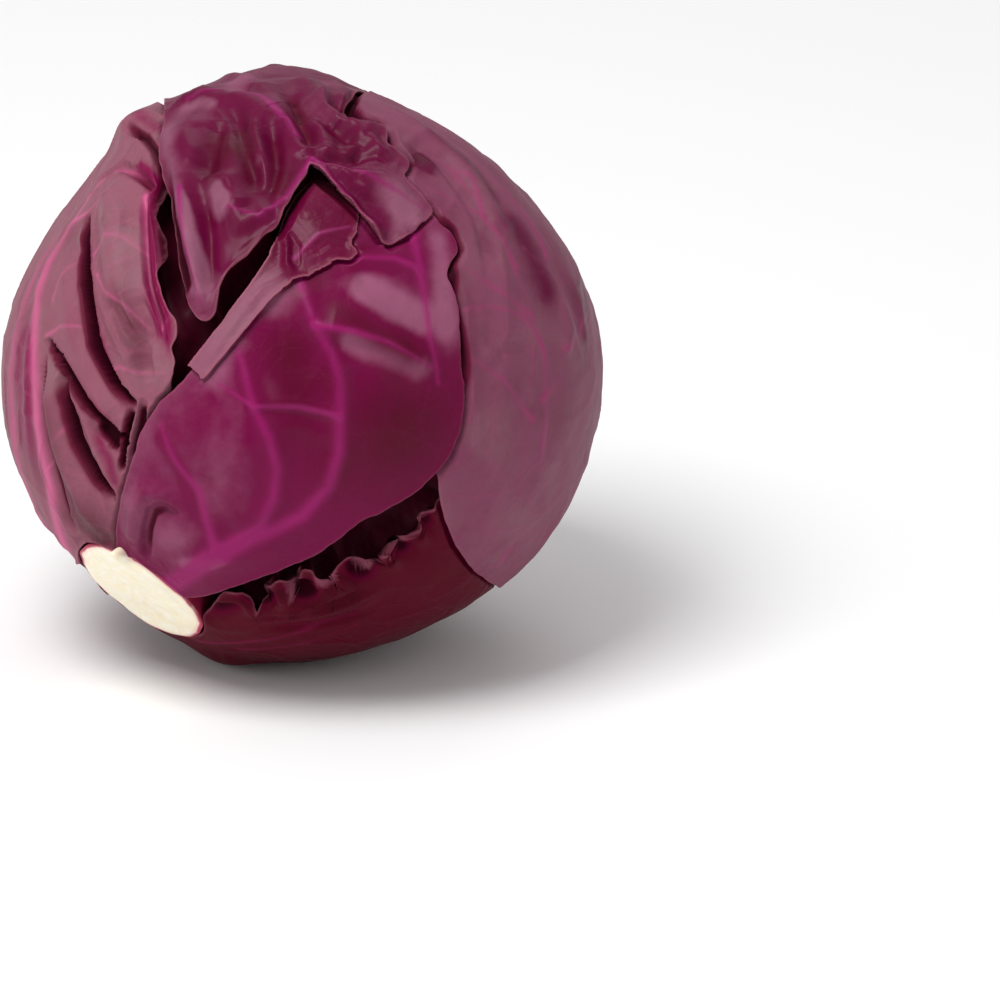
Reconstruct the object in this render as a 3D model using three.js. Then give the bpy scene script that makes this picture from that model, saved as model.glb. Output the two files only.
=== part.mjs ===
// A whole red cabbage head, lying on its belly with the cut stem low on the left.
// Millimetres, +Z up, the front towards -Y. The origin is under the middle of the
// head, on the surface that it rests on.
//
// Every leaf is a thin closed shell round one centre. Its outline is drawn on the
// head as a closed curve, and its two faces are heights above that centre. The
// leaves lie in a fixed order, each one dipping under those that cover it.
import * as THREE from "three";

// Driving sizes of the head, mm.
const HEAD_RADIUS = 82;
const REST_HEIGHT = 79.2;
const LEAF_THICKNESS = 1.5;
const LEAF_GAP = 1.1;
const STUMP_RADIUS = 20;
const STUMP_FACE = 79.5;
const STUMP_FOOT = 60;
const STUMP_DISH = 1.2;
const HEART_DEPTH = 14;
const HEART_GAP = 3.6;

// Places on the head are read in a 1000 x 1000 picture of it, in pixels. Beyond the
// head's rim the same distance goes on round the hidden side, to the far pole at
// twice the rim's distance.
const PICTURE_CENTRE = [300, 366];
const PICTURE_RADIUS = 300;
const VIEW_ELEVATION = THREE.MathUtils.degToRad(20);

// How a covered leaf climbs back up beside the leaf over it.
const STEP_CLEARANCE = 2.6;
const STEP_SLOPE = 0.75;

const STUMP_PLACE = [137, 598];
const STUMP_ANGLE = Math.atan2(STUMP_RADIUS, STUMP_FACE);
const STUMP_MARGIN = 0.02;

// A place on the hidden side: its bearing as seen from the front, anticlockwise
// from the right, and its angle from the middle of the view, both in degrees.
function behind(bearing, angle) {
  const turn = THREE.MathUtils.degToRad(bearing);
  const far = (PICTURE_RADIUS * angle) / 90;
  return [PICTURE_CENTRE[0] + far * Math.cos(turn), PICTURE_CENTRE[1] - far * Math.sin(turn)];
}

// Broad dents and swells of the whole head: place, reach in mm, height in mm.
const HEAD_FORM = [
  { at: behind(66, 92), reach: 30, height: -6.5 },
  { at: [60, 190], reach: 32, height: -6 },
  { at: behind(38, 92), reach: 34, height: -4.5 },
  { at: [420, 660], reach: 30, height: -2.5 },
  { at: [126, 114], reach: 9, height: 3.5 },
  { at: [285, 60], reach: 14, height: 2.4 },
  { at: [70, 566], reach: 9, height: -3 },
  { at: [222, 658], reach: 9, height: 2.6 },
  { at: [600, 700], reach: 45, height: -1.2 },
];

// A direction from the head's centre for a place in the picture.
function direction([x, y]) {
  const right = (x - PICTURE_CENTRE[0]) / PICTURE_RADIUS;
  const up = (PICTURE_CENTRE[1] - y) / PICTURE_RADIUS;
  const far = Math.hypot(right, up);
  const angle = far <= 1 ? Math.asin(far) : (far * Math.PI) / 2;
  const share = far > 0 ? Math.sin(angle) / far : 1;
  const near = Math.cos(angle);
  const sine = Math.sin(VIEW_ELEVATION);
  const cosine = Math.cos(VIEW_ELEVATION);
  const a = right * share;
  const b = up * share;
  return new THREE.Vector3(a, b * sine - near * cosine, b * cosine + near * sine);
}

function smoothStep(low, high, value) {
  const t = Math.min(1, Math.max(0, (value - low) / (high - low)));
  return t * t * (3 - 2 * t);
}

// Distance on the head from a direction to a place, mm.
function spanTo(point, place) {
  return HEAD_RADIUS * point.distanceTo(place);
}

// Distance on the head from a direction to a line of places, mm, and how far
// along the line the nearest place lies, from 0 to 1.
const segment = new THREE.Line3();
const nearest = new THREE.Vector3();
function spanToLine(point, line) {
  let best = Infinity;
  let along = 0;
  for (let i = 0; i + 1 < line.length; i += 1) {
    segment.set(line[i], line[i + 1]);
    const t = segment.closestPointToPointParameter(point, true);
    segment.at(t, nearest);
    const span = point.distanceTo(nearest);
    if (span < best) {
      best = span;
      along = (i + t) / (line.length - 1);
    }
  }
  return { span: best * HEAD_RADIUS, along };
}

// The sum of swells, ridges and slots at a direction, mm. A swell is a round
// bump, a ridge is a rounded line and a slot is a steep-sided line; ridges and
// slots fade out at both ends.
const END_FADE = 0.12;
const END_SHARE = 0.35;
const SLOT_FLOOR = 0.45;
const SLOT_BROW = 1.45;
function sumOfForms(point, forms) {
  let height = 0;
  for (const form of forms) {
    if (form.swell) {
      height += form.height * Math.exp(-((spanTo(point, form.swell) / form.reach) ** 2));
      continue;
    }
    const { span, along } = spanToLine(point, form.ridge ?? form.slot);
    const ends = Math.min(1, along / END_FADE, (1 - along) / END_FADE);
    const fade = END_SHARE + (1 - END_SHARE) * ends;
    if (form.ridge) {
      height += form.height * fade * Math.exp(-((span / form.reach) ** 2));
    } else {
      const wall = smoothStep(form.reach * SLOT_FLOOR, form.reach * SLOT_BROW, span);
      height += form.height * fade * (1 - wall);
    }
  }
  return height;
}

function placed(forms) {
  return forms.map((form) => ({
    ...form,
    swell: form.swell && direction(form.swell),
    ridge: form.ridge && form.ridge.map(direction),
    slot: form.slot && form.slot.map(direction),
  }));
}

// A slow unevenness of the surface, about -1 to 1.
const WAVES = [
  [3.1, 1.7, 5.2, 0.4],
  [-4.6, 3.9, 1.3, 1.9],
  [2.2, -5.8, 3.4, 3.3],
  [6.4, 2.5, -3.7, 5.1],
];
function unevenness(point, scale, seed) {
  let sum = 0;
  for (const [x, y, z, phase] of WAVES) {
    sum += Math.sin(scale * (x * point.x + y * point.y + z * point.z) + phase + seed);
  }
  return sum / WAVES.length;
}

// The head's own round form, with the flat spot that it rests on.
const headForm = HEAD_FORM.map(({ at, reach, height }) => ({ swell: direction(at), reach, height }));
const SIDE_Z = -0.3;
function floorLimit(point) {
  return point.z < SIDE_Z ? REST_HEIGHT / -point.z : Infinity;
}
function headRadius(point) {
  return Math.min(HEAD_RADIUS + sumOfForms(point, headForm), floorLimit(point));
}

const stumpAxis = direction(STUMP_PLACE);

// Directions inside the stump's cone are moved out to its edge.
function clearOfStump(point) {
  const least = STUMP_ANGLE + STUMP_MARGIN;
  const angle = point.angleTo(stumpAxis);
  if (angle >= least) {
    return point;
  }
  const away = point.clone().addScaledVector(stumpAxis, -point.dot(stumpAxis)).normalize();
  return stumpAxis.clone().multiplyScalar(Math.cos(least)).addScaledVector(away, Math.sin(least));
}

// A leaf: its outline in a flat map round its own middle, and its heights. The
// relief fades out between two downward directions near the flat spot.
const OUTLINE_SAMPLES = 480;
const REST_Z = -0.99;
const RELIEF_Z = -0.9;
class Leaf {
  constructor(name, drawing) {
    this.name = name;
    Object.assign(this, drawing);
    this.relief = placed(drawing.relief);
    this.bedForms = placed(drawing.bedForms ?? []);
    this.middle = direction(drawing.middle);
    this.east = new THREE.Vector3(0, 0, 1).cross(this.middle).normalize();
    this.north = this.middle.clone().cross(this.east);
    this.covers = [];
    this.drawOutline();
  }

  toMap(point) {
    const angle = this.middle.angleTo(point);
    const x = point.dot(this.east);
    const y = point.dot(this.north);
    const far = Math.hypot(x, y) || 1;
    return [(HEAD_RADIUS * angle * x) / far, (HEAD_RADIUS * angle * y) / far];
  }

  fromMap(x, y) {
    const far = Math.hypot(x, y);
    const angle = far / HEAD_RADIUS;
    const share = far > 0 ? Math.sin(angle) / far : 0;
    return this.middle.clone().multiplyScalar(Math.cos(angle))
      .addScaledVector(this.east, x * share)
      .addScaledVector(this.north, y * share);
  }

  drawOutline() {
    const corners = this.outline.map((place) => {
      const [x, y] = this.toMap(direction(place));
      return new THREE.Vector3(x, y, 0);
    });
    const curve = new THREE.CatmullRomCurve3(corners, true, "centripetal");
    this.rim = curve.getSpacedPoints(OUTLINE_SAMPLES).slice(0, -1).map(({ x, y }) => {
      return this.toMap(clearOfStump(this.fromMap(x, y)));
    });
    const flat = this.rim.map(([x, y]) => new THREE.Vector2(x, y));
    if (THREE.ShapeUtils.isClockWise(flat)) {
      this.rim.reverse();
    }
    this.bearings = this.rim
      .map(([x, y]) => ({ bearing: Math.atan2(y, x), reach: Math.hypot(x, y) }))
      .sort((one, other) => one.bearing - other.bearing);
  }

  // The outline's distance from the leaf's middle along one bearing, mm.
  reachAt(bearing) {
    const list = this.bearings;
    let low = 0;
    let high = list.length;
    while (low < high) {
      const half = (low + high) >> 1;
      if (list[half].bearing < bearing) {
        low = half + 1;
      } else {
        high = half;
      }
    }
    const after = list[low % list.length];
    const before = list[(low + list.length - 1) % list.length];
    return Math.max(after.reach, before.reach);
  }

  // How far outside the outline a direction lies, mm; negative inside.
  outside(point) {
    const [x, y] = this.toMap(point);
    const sign = Math.sign(Math.hypot(x, y) - this.reachAt(Math.atan2(y, x)));
    let best = Infinity;
    for (const [rimX, rimY] of this.rim) {
      best = Math.min(best, (x - rimX) ** 2 + (y - rimY) ** 2);
    }
    return sign * Math.sqrt(best);
  }

  // The highest that this leaf's outer face may be, under the leaves over it.
  ceiling(point) {
    let limit = Infinity;
    for (const cover of this.covers) {
      const beside = Math.max(0, cover.outside(point) - STEP_CLEARANCE);
      if (beside * STEP_SLOPE < HEART_DEPTH) {
        limit = Math.min(limit, cover.bed(point) - LEAF_GAP + beside * STEP_SLOPE);
      }
    }
    return limit;
  }

  // The lowest place of this leaf: all that it covers stays under it.
  bed(point) {
    const own = headRadius(point) - this.depth + sumOfForms(point, this.bedForms);
    return Math.min(own, this.ceiling(point) - LEAF_THICKNESS);
  }

  outer(point) {
    const inside = Math.max(0, -this.outside(point));
    const curl = this.curl * Math.exp(-((inside / this.curlReach) ** 2));
    const nearRest = smoothStep(REST_Z, RELIEF_Z, point.z);
    const uneven = this.uneven * unevenness(point, this.unevenScale, this.depth);
    const relief = this.rise + sumOfForms(point, this.relief) + curl + uneven;
    const face = headRadius(point) + relief * nearRest;
    const raised = Math.max(face, this.bed(point) + LEAF_THICKNESS);
    return Math.min(raised, this.ceiling(point), floorLimit(point));
  }
}

// The leaves, from the outermost to the innermost. middle and outline are places
// in the picture; depth is how far the leaf's bed lies under the head's form and
// rise how far its face stands over it; curl lifts the margin. A leaf lies beside
// the outer leaves that it names there, and under all the others.
const DRAWINGS = {
  crown_leaf: {
    color: 0x7d2448,
    middle: [262, 130],
    columns: 58,
    rings: 10,
    depth: 6,
    rise: 0,
    curl: 1,
    curlReach: 4,
    uneven: 0.9,
    unevenScale: 2.2,
    outline: [
      [163, 112], [159, 140], [162, 174], [165, 203], [173, 235], [182, 268], [193, 305],
      [199, 318], [209, 323], [217, 315], [221, 296], [229, 276], [246, 261], [266, 239],
      [280, 229], [287, 211], [297, 195], [307, 180], [322, 193], [340, 205], [357, 220],
      [372, 236], [386, 244], [404, 239], [420, 227], [431, 213], [420, 195], [405, 183],
      [409, 166], [394, 152], [384, 127], [366, 125], [350, 114], [349, 104], [356, 90],
      [380, 66], behind(72, 110), behind(82, 128), behind(108, 132), behind(122, 120),
      behind(118, 104), behind(117, 94),
    ],
    bedForms: [
      { swell: [385, 192], reach: 18, height: 9 },
      { swell: [152, 102], reach: 12, height: 4 },
    ],
    relief: [
      { ridge: [[165, 108], [200, 98], [240, 105], [270, 125]], reach: 6, height: 3.5 },
      { ridge: [[285, 122], [300, 145], [312, 160]], reach: 4, height: 2.5 },
      { swell: [225, 160], reach: 13, height: 2.5 },
      { ridge: [[180, 200], [192, 255], [206, 312]], reach: 4, height: 3 },
      { ridge: [[222, 232], [240, 236], [275, 215]], reach: 5, height: 2.5 },
      { slot: [[212, 190], [216, 225], [220, 262]], reach: 3, height: -3 },
      { slot: [[270, 140], [276, 175], [268, 205]], reach: 2.5, height: -2 },
      { swell: [375, 180], reach: 14, height: 6 },
      { swell: [322, 100], reach: 10, height: 1.5 },
      { slot: [[325, 125], [345, 145], [335, 160]], reach: 3, height: -2 },
    ],
  },
  torn_leaf: {
    color: 0x8c3a60,
    beside: ["crown_leaf"],
    middle: [288, 262],
    columns: 40,
    rings: 3,
    depth: -1.3,
    rise: 2.6,
    curl: 0.8,
    curlReach: 2,
    uneven: 0.3,
    unevenScale: 3,
    outline: [
      [193, 367], [210, 342], [228, 318], [245, 297], [262, 275], [275, 256], [278, 236],
      [288, 227], [304, 218], [326, 213], [343, 220], [357, 232], [354, 250], [355, 261],
      [339, 265], [324, 274], [296, 282], [281, 292], [265, 308], [253, 324], [241, 339],
      [222, 362], [205, 379],
    ],
    relief: [{ ridge: [[280, 236], [288, 255], [292, 275]], reach: 2.5, height: 1.5 }],
  },
  front_leaf: {
    color: 0x7a0a4a,
    middle: [290, 430],
    columns: 46,
    rings: 7,
    depth: 2.6,
    rise: 0.4,
    curl: 0.5,
    curlReach: 3,
    uneven: 0.35,
    unevenScale: 1.6,
    outline: [
      [119, 532], [125, 500], [133, 468], [142, 436], [161, 405], [180, 388], [200, 368],
      [224, 335], [250, 302], [280, 270], [320, 248], [360, 238], [400, 233], [431, 215],
      [446, 232], [455, 251], [448, 262], [447, 276], [455, 297], [459, 321], [461, 361],
      [464, 405], [452, 450], [420, 488], [385, 510], [362, 521], [321, 552], [280, 570],
      [241, 584], [197, 595], [181, 592], [160, 572], [140, 552], [126, 545],
    ],
    relief: [
      { ridge: [[303, 289], [316, 327], [340, 383], [340, 452], [303, 515]], reach: 2, height: 0.8 },
      { ridge: [[241, 352], [272, 436], [276, 497], [209, 557]], reach: 2, height: 0.8 },
      { ridge: [[316, 329], [354, 336], [388, 347], [430, 369]], reach: 4, height: 1.6 },
      { swell: [365, 300], reach: 12, height: 1.2 },
      { swell: [225, 440], reach: 14, height: 1.4 },
      { slot: [[149, 544], [158, 510], [172, 508]], reach: 2, height: -1.6 },
    ],
  },
  left_leaf: {
    color: 0x9a4a72,
    middle: [80, 330],
    columns: 60,
    rings: 13,
    depth: 3.2,
    rise: 0,
    curl: 1,
    curlReach: 3,
    uneven: 0.4,
    unevenScale: 1.7,
    outline: [
      [163, 113], [160, 145], [161, 176], [152, 207], [155, 225], [159, 244], [161, 280],
      [168, 300], [178, 318], [182, 346], [176, 378], [166, 410], [158, 440], [146, 475],
      [134, 510], [124, 535], [100, 540], [84, 540], [72, 562], behind(230, 96),
      behind(224, 114), behind(205, 132), behind(182, 138), behind(162, 132), behind(146, 118),
      behind(128, 110), behind(114, 101), [178, 104],
    ],
    bedForms: [
      { swell: [120, 300], reach: 26, height: -7 },
      { swell: [95, 440], reach: 26, height: -7 },
    ],
    relief: [
      { ridge: [[112, 170], [122, 240], [130, 310], [146, 380]], reach: 7, height: 2.6 },
      { slot: [[88, 214], [88, 240], [94, 290], [106, 355], [125, 388], [138, 404]], reach: 2.6, height: -7.5 },
      { ridge: [[70, 250], [78, 320], [104, 390]], reach: 6, height: 1.6 },
      { slot: [[50, 342], [68, 362], [86, 389], [108, 418], [130, 440]], reach: 2.4, height: -6.5 },
      { slot: [[70, 381], [82, 410], [90, 440], [112, 490]], reach: 2.6, height: -7 },
      { ridge: [[60, 380], [72, 440], [96, 510]], reach: 5, height: 2 },
      { ridge: [[86, 400], [112, 450], [124, 485]], reach: 3.5, height: 1.2 },
      { slot: [[135, 415], [130, 440], [126, 462]], reach: 1.6, height: -4 },
      { swell: [138, 125], reach: 8, height: 3 },
      { slot: [[92, 168], [118, 163], [146, 172]], reach: 2, height: -2 },
      { ridge: [[60, 205], [36, 300], [30, 400], [60, 540]], reach: 2.5, height: 0.9 },
      { ridge: [[40, 235], [16, 330], [14, 430], [50, 550]], reach: 2.5, height: 0.7 },
    ],
  },
  right_leaf: {
    color: 0x7a3a58,
    middle: [520, 290],
    columns: 40,
    rings: 8,
    depth: 4,
    rise: 0.8,
    curl: 0,
    curlReach: 3,
    uneven: 0.8,
    unevenScale: 1.9,
    outline: [
      [340, 90], [374, 138], [408, 186], [434, 238], [440, 290], [444, 361], [444, 430],
      [440, 490], [470, 560], behind(-42, 108), behind(-30, 128), behind(-8, 142),
      behind(18, 144), behind(42, 134), behind(60, 118), behind(72, 104), behind(79, 95),
    ],
    relief: [
      { ridge: [[470, 560], [500, 430], [500, 300], [460, 160]], reach: 4, height: 1 },
      { swell: [560, 260], reach: 20, height: 1 },
    ],
  },
  ruffled_leaf: {
    color: 0x4a0820,
    middle: [300, 733],
    columns: 52,
    rings: 7,
    depth: 6,
    rise: -0.4,
    curl: 0,
    curlReach: 3,
    uneven: 0.3,
    unevenScale: 1.7,
    outline: [
      [188, 622], [198, 604], [225, 594], [262, 588], [300, 578], [340, 560], [380, 534],
      [420, 505], [470, 500], [530, 530], behind(-40, 112), behind(-52, 132),
      behind(-72, 150), behind(-98, 156), behind(-122, 142), behind(-128, 118), behind(-124, 98),
    ],
    relief: [
      { ridge: [[221, 600], [246, 596], [262, 612]], reach: 2.2, height: 2.4 },
      { ridge: [[262, 612], [283, 583], [300, 612]], reach: 2.2, height: 2.4 },
      { ridge: [[300, 612], [320, 574], [336, 604]], reach: 2.2, height: 2.4 },
      { ridge: [[336, 604], [352, 560], [372, 592]], reach: 2.2, height: 2.4 },
      { slot: [[206, 598], [262, 596], [312, 580], [372, 552]], reach: 3.4, height: -4 },
    ],
  },
  back_leaf: {
    color: 0x6e2a4c,
    middle: behind(50, 150),
    columns: 32,
    rings: 7,
    depth: 5,
    rise: -0.6,
    curl: 0,
    curlReach: 3,
    uneven: 0.7,
    unevenScale: 1.8,
    outline: [
      behind(86, 118), behind(64, 110), behind(34, 120), behind(4, 126), behind(-20, 136),
      behind(-52, 158), behind(-150, 162), behind(180, 142), behind(168, 124), behind(142, 112),
      behind(110, 112),
    ],
    relief: [
      { ridge: [behind(-150, 160), behind(140, 150), behind(90, 125)], reach: 5, height: 1.2 },
    ],
  },
  under_leaf: {
    color: 0x5a1c3c,
    middle: behind(-140, 148),
    columns: 32,
    rings: 7,
    depth: 6,
    rise: -1.2,
    curl: 0,
    curlReach: 3,
    uneven: 0.6,
    unevenScale: 1.9,
    outline: [
      behind(-112, 100), [133, 608], behind(-140, 98), behind(-150, 106),
      behind(-165, 112), behind(176, 126), behind(160, 152), behind(60, 165), behind(-20, 148),
      behind(-40, 122), behind(-58, 120), behind(-84, 138), behind(-104, 132),
    ],
    relief: [
      { ridge: [behind(-138, 104), behind(-142, 130), behind(-150, 155)], reach: 5, height: 1 },
    ],
  },
};
const leaves = Object.entries(DRAWINGS).map(([name, drawing]) => new Leaf(name, drawing));
leaves.forEach((leaf, place) => {
  const outerLeaves = leaves.slice(0, place);
  leaf.covers = outerLeaves.filter((other) => !leaf.beside?.includes(other.name));
});

// One closed shell from two matching grids of points, outer and inner, each in
// rings round a middle point, joined along the rim.
function closedShell(outer, inner, columns) {
  const points = [...outer, ...inner];
  const faces = [];
  const shift = outer.length;
  const rings = (outer.length - 1) / columns;
  const at = (ring, column) => 1 + (ring - 1) * columns + (column % columns);
  const both = (a, b, c) => {
    faces.push(a, b, c);
    faces.push(shift + a, shift + c, shift + b);
  };
  for (let column = 0; column < columns; column += 1) {
    both(0, at(1, column), at(1, column + 1));
    for (let ring = 1; ring < rings; ring += 1) {
      both(at(ring, column), at(ring + 1, column), at(ring + 1, column + 1));
      both(at(ring, column), at(ring + 1, column + 1), at(ring, column + 1));
    }
    const here = at(rings, column);
    const next = at(rings, column + 1);
    faces.push(here, shift + here, shift + next);
    faces.push(here, shift + next, next);
  }
  const geometry = new THREE.BufferGeometry();
  geometry.setAttribute("position", new THREE.Float32BufferAttribute(points.flatMap((p) => p.toArray()), 3));
  geometry.setIndex(faces);
  geometry.computeVertexNormals();
  return geometry;
}

function leafGeometry(leaf) {
  const outer = [];
  const inner = [];
  const addPoint = (x, y) => {
    const point = leaf.fromMap(x, y);
    const height = leaf.outer(point);
    outer.push(point.clone().multiplyScalar(height));
    inner.push(point.clone().multiplyScalar(height - LEAF_THICKNESS));
  };
  addPoint(0, 0);
  for (let ring = 1; ring <= leaf.rings; ring += 1) {
    const share = ring / leaf.rings;
    for (let column = 0; column < leaf.columns; column += 1) {
      const [x, y] = leaf.rim[Math.floor((column / leaf.columns) * leaf.rim.length)];
      addPoint(x * share, y * share);
    }
  }
  return closedShell(outer, inner, leaf.columns);
}

// The dense inner head: a closed ball close under all the leaves and the stump,
// and deeper in the gaps that no leaf covers.
const HEART_COLUMNS = 32;
const HEART_ROWS = 16;
const HEART_UNEVEN = 1.2;
const HEART_COVER = 14;
const STUMP_RING = 0.08;
function heartGeometry() {
  const stumpFloor = STUMP_FOOT - LEAF_GAP;
  const radiusAt = (point) => {
    let radius = Infinity;
    let cover = 0;
    for (const leaf of leaves) {
      const outside = leaf.outside(point);
      const beside = Math.max(0, outside - STEP_CLEARANCE);
      radius = Math.min(radius, leaf.bed(point) - HEART_GAP + beside * STEP_SLOPE);
      cover = Math.max(cover, -outside);
    }
    const depth = HEART_DEPTH + HEART_UNEVEN * unevenness(point, 2.4, 1);
    const bare = 1 - smoothStep(0, HEART_COVER, cover);
    radius = Math.min(radius, headRadius(point) - depth * bare);
    const besideStump = (point.angleTo(stumpAxis) - STUMP_ANGLE - STUMP_RING) * HEAD_RADIUS;
    return Math.min(radius, stumpFloor + Math.max(0, besideStump));
  };
  const geometry = new THREE.SphereGeometry(1, HEART_COLUMNS, HEART_ROWS);
  geometry.deleteAttribute("normal");
  geometry.deleteAttribute("uv");
  const position = geometry.getAttribute("position");
  const point = new THREE.Vector3();
  for (let i = 0; i < position.count; i += 1) {
    point.fromBufferAttribute(position, i).normalize();
    point.multiplyScalar(radiusAt(point));
    position.setXYZ(i, point.x, point.y, point.z);
  }
  return geometry;
}

// The cut stem: a short cone, with a shallow dish in its cut face.
const STUMP_COLUMNS = 28;
const STUMP_CROWN = 0.6;
const STUMP_SHOULDER_RADIUS = 16.4;
const STUMP_DISH_RADIUS = 10;
function stumpGeometry() {
  const footRadius = STUMP_FOOT * Math.tan(STUMP_ANGLE);
  const shoulder = STUMP_FACE + STUMP_CROWN;
  const profile = [
    new THREE.Vector2(0, STUMP_FOOT),
    new THREE.Vector2(footRadius, STUMP_FOOT),
    new THREE.Vector2(STUMP_RADIUS, STUMP_FACE),
    new THREE.Vector2(STUMP_SHOULDER_RADIUS, shoulder),
    new THREE.Vector2(STUMP_DISH_RADIUS, shoulder - STUMP_DISH / 2),
    new THREE.Vector2(0, shoulder - STUMP_DISH),
  ];
  return new THREE.LatheGeometry(profile, STUMP_COLUMNS);
}

const head = new THREE.Group();
head.name = "cabbage_head";

function addPiece(name, geometry, color, roughness) {
  const material = new THREE.MeshStandardMaterial({ color, roughness, metalness: 0 });
  const mesh = new THREE.Mesh(geometry, material);
  mesh.name = name;
  head.add(mesh);
  return mesh;
}

const stump = addPiece("stump", stumpGeometry(), 0xfff6d8, 0.6);
stump.quaternion.setFromUnitVectors(new THREE.Vector3(0, 1, 0), stumpAxis);
addPiece("heart", heartGeometry(), 0x3c0418, 0.55);
for (const leaf of leaves) {
  addPiece(leaf.name, leafGeometry(leaf), leaf.color, 0.42);
}

// The origin goes to the middle of the head's box, on the surface it rests on.
const box = new THREE.Box3().setFromObject(head, true);
const middle = box.getCenter(new THREE.Vector3());
head.position.set(-middle.x, -middle.y, -box.min.z);

export default head;
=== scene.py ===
import math
from dataclasses import dataclass

import bpy
import numpy as np
from mathutils import Matrix, Vector


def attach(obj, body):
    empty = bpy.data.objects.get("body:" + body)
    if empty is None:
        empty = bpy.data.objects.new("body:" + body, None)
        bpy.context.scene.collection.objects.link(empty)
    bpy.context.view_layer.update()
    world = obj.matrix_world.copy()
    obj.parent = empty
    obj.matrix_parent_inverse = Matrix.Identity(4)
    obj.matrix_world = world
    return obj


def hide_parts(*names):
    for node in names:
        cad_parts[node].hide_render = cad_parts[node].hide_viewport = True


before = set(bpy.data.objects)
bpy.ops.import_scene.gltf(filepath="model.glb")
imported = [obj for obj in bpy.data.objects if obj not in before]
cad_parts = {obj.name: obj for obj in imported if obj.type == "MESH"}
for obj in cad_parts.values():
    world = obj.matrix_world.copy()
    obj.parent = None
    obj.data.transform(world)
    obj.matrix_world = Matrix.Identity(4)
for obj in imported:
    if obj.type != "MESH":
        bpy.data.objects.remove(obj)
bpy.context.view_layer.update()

# Sizes of the head. Shapes are worked out in mm and become metres in the mesh.
METRES = 0.001
HEAD_RADIUS = 82.0
REST_HEIGHT = 79.2
HEAD_CENTRE = np.array([-0.29, 0.84, REST_HEIGHT])

# How far down a direction points, as its height on the unit ball: where the flat spot
# may start, where relief has faded out and where it is whole.
SIDE_Z = -0.3
REST_Z = -0.99
RELIEF_Z = -0.9

# The leaves and how they lie on each other, in mm.
LEAF_THICKNESS = 0.9
LEAF_GAP = 0.25
STEP_CLEARANCE = 0.3
STEP_SLOPE = 1.3
CEILING_BLEND = 0.3
OPEN_SKY = 1000.0
EDGE_ROUNDING = 0.45
# How far in from the edge the painted edge highlight reaches, and how deep under the head's form a leaf lies
# where its painted shade starts and where it is full.
MARGIN_REACH = 0.45
PAINTED_SHADE_START = 0.6
PAINTED_SHADE_FULL = 3.4

# How finely leaves are worked out: samples of the rim, every how many of them serve
# for distances and within how many mm, the rings' crowding, and the inner face's rings.
RIM_SAMPLES = 1920
RIM_STRIDE = 4
NEAR_RIM = 30.0
CURVE_STEPS = 24
POINTS_AT_ONCE = 8000
RING_CROWDING = 1.12
INNER_RINGS = 20
INNER_RIM_RINGS = 5

# Lines on a leaf: how they fade at their ends, and the profile of a slot's wall.
END_SHARE = 0.25
END_FADE = 0.14
SLOT_FLOOR = 0.45
SLOT_BROW = 1.45

# Waves of the ragged rims: count round the leaf, strength, phase.
TEETH = ((31, 1.0, 0.0), (53, 0.8, 1.1), (97, 0.6, 2.3))

# Waves of the slow unevenness: three numbers for the direction and one for the phase.
WAVES = np.array([
    [3.1, 1.7, 5.2, 0.4],
    [-4.6, 3.9, 1.3, 1.9],
    [2.2, -5.8, 3.4, 3.3],
    [6.4, 2.5, -3.7, 5.1],
])

# The wax bloom's own unevenness: its share and its scale.
BLOOM_SHARE = 0.16
BLOOM_SCALE = 3.4

# The heart, in mm: how deep it lies in the gaps, how much its folds rise there, its
# gap under the leaves, under the head's form and by the stem, and the leaf cover that hides it.
HEART_COLUMNS = 220
HEART_ROWS = 110
HEART_DEPTH = 14.0
HEART_FOLDS = 3.0
HEART_FOLD_SCALE = 5.5
HEART_GAP = 1.5
HEART_SINK = 1.5
HEART_COVER = 10.0
HEART_STEM_ANGLE = 0.03
HEART_STEM_SLOPE = 1.4

# The stump, in mm from its axis or from the head's centre along it.
STUMP_PLACE = (137, 598)
STUMP_RADIUS = 20.0
STUMP_FACE = 79.5
STUMP_FOOT = 60.0
STUMP_ANGLE = math.atan2(STUMP_RADIUS, STUMP_FACE)
STUMP_MARGIN = 0.004
STUMP_COLUMNS = 220
STUMP_FACE_RINGS = 46
STUMP_SIDE = ((0.93, -4), (0.985, -1.2))
STUMP_SHOULDER = (1.0, 0.985, 0.96)
STUMP_DISH = 0.8
STUMP_RAGGED = 0.016
STUMP_NOTCHES = ((5, 0.5, 0.6), (9, 0.35, 2.0), (17, 0.3, 0.0))
NUB_BEARING = math.radians(76)
NUB_WIDTH = 0.10
NUB_SPREAD = 0.27
NUB_HEIGHT = 3.8

# Places on the head are read in the picture's 1000 x 1000 frame, in pixels. Beyond
# the head's rim the distance goes on round the hidden side, to the far pole at
# twice the rim's distance.
PICTURE_CENTRE = np.array([300.0, 366.0])
PICTURE_RADIUS = 300.0
PICTURE_SIZE = 1000.0
VIEW_ELEVATION = math.radians(20.0)
MM_PER_PIXEL = HEAD_RADIUS / PICTURE_RADIUS

RIGHT = np.array([1.0, 0.0, 0.0])
UP = np.array([0.0, math.sin(VIEW_ELEVATION), math.cos(VIEW_ELEVATION)])
NEAR = np.array([0.0, -math.cos(VIEW_ELEVATION), math.sin(VIEW_ELEVATION)])

# How wide the flat map is that a piece's UVs show, in mm.
MAP_SPAN = 4 * HEAD_RADIUS

# Colours that all leaves share: greyish wax, crimson and nearly black painted shade for hollows and shadow
# lines, and a painted highlight for the thin edges.
PAINTED_SHADE_WINE = (0.030, 0.0002, 0.006, 1.0)
GREY_WAX = (0.230, 0.130, 0.145, 1.0)
PAINTED_SHADE_CRIMSON = (0.105, 0.0005, 0.020, 1.0)
PAINTED_EDGE_HIGHLIGHT = (0.36, 0.10, 0.15, 1.0)

# The camera's distance and sensor, in metres and mm, and how far it sees.
CAMERA_DISTANCE = 9.0
SENSOR = 36.0
CLIP_END = 20.0

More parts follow.
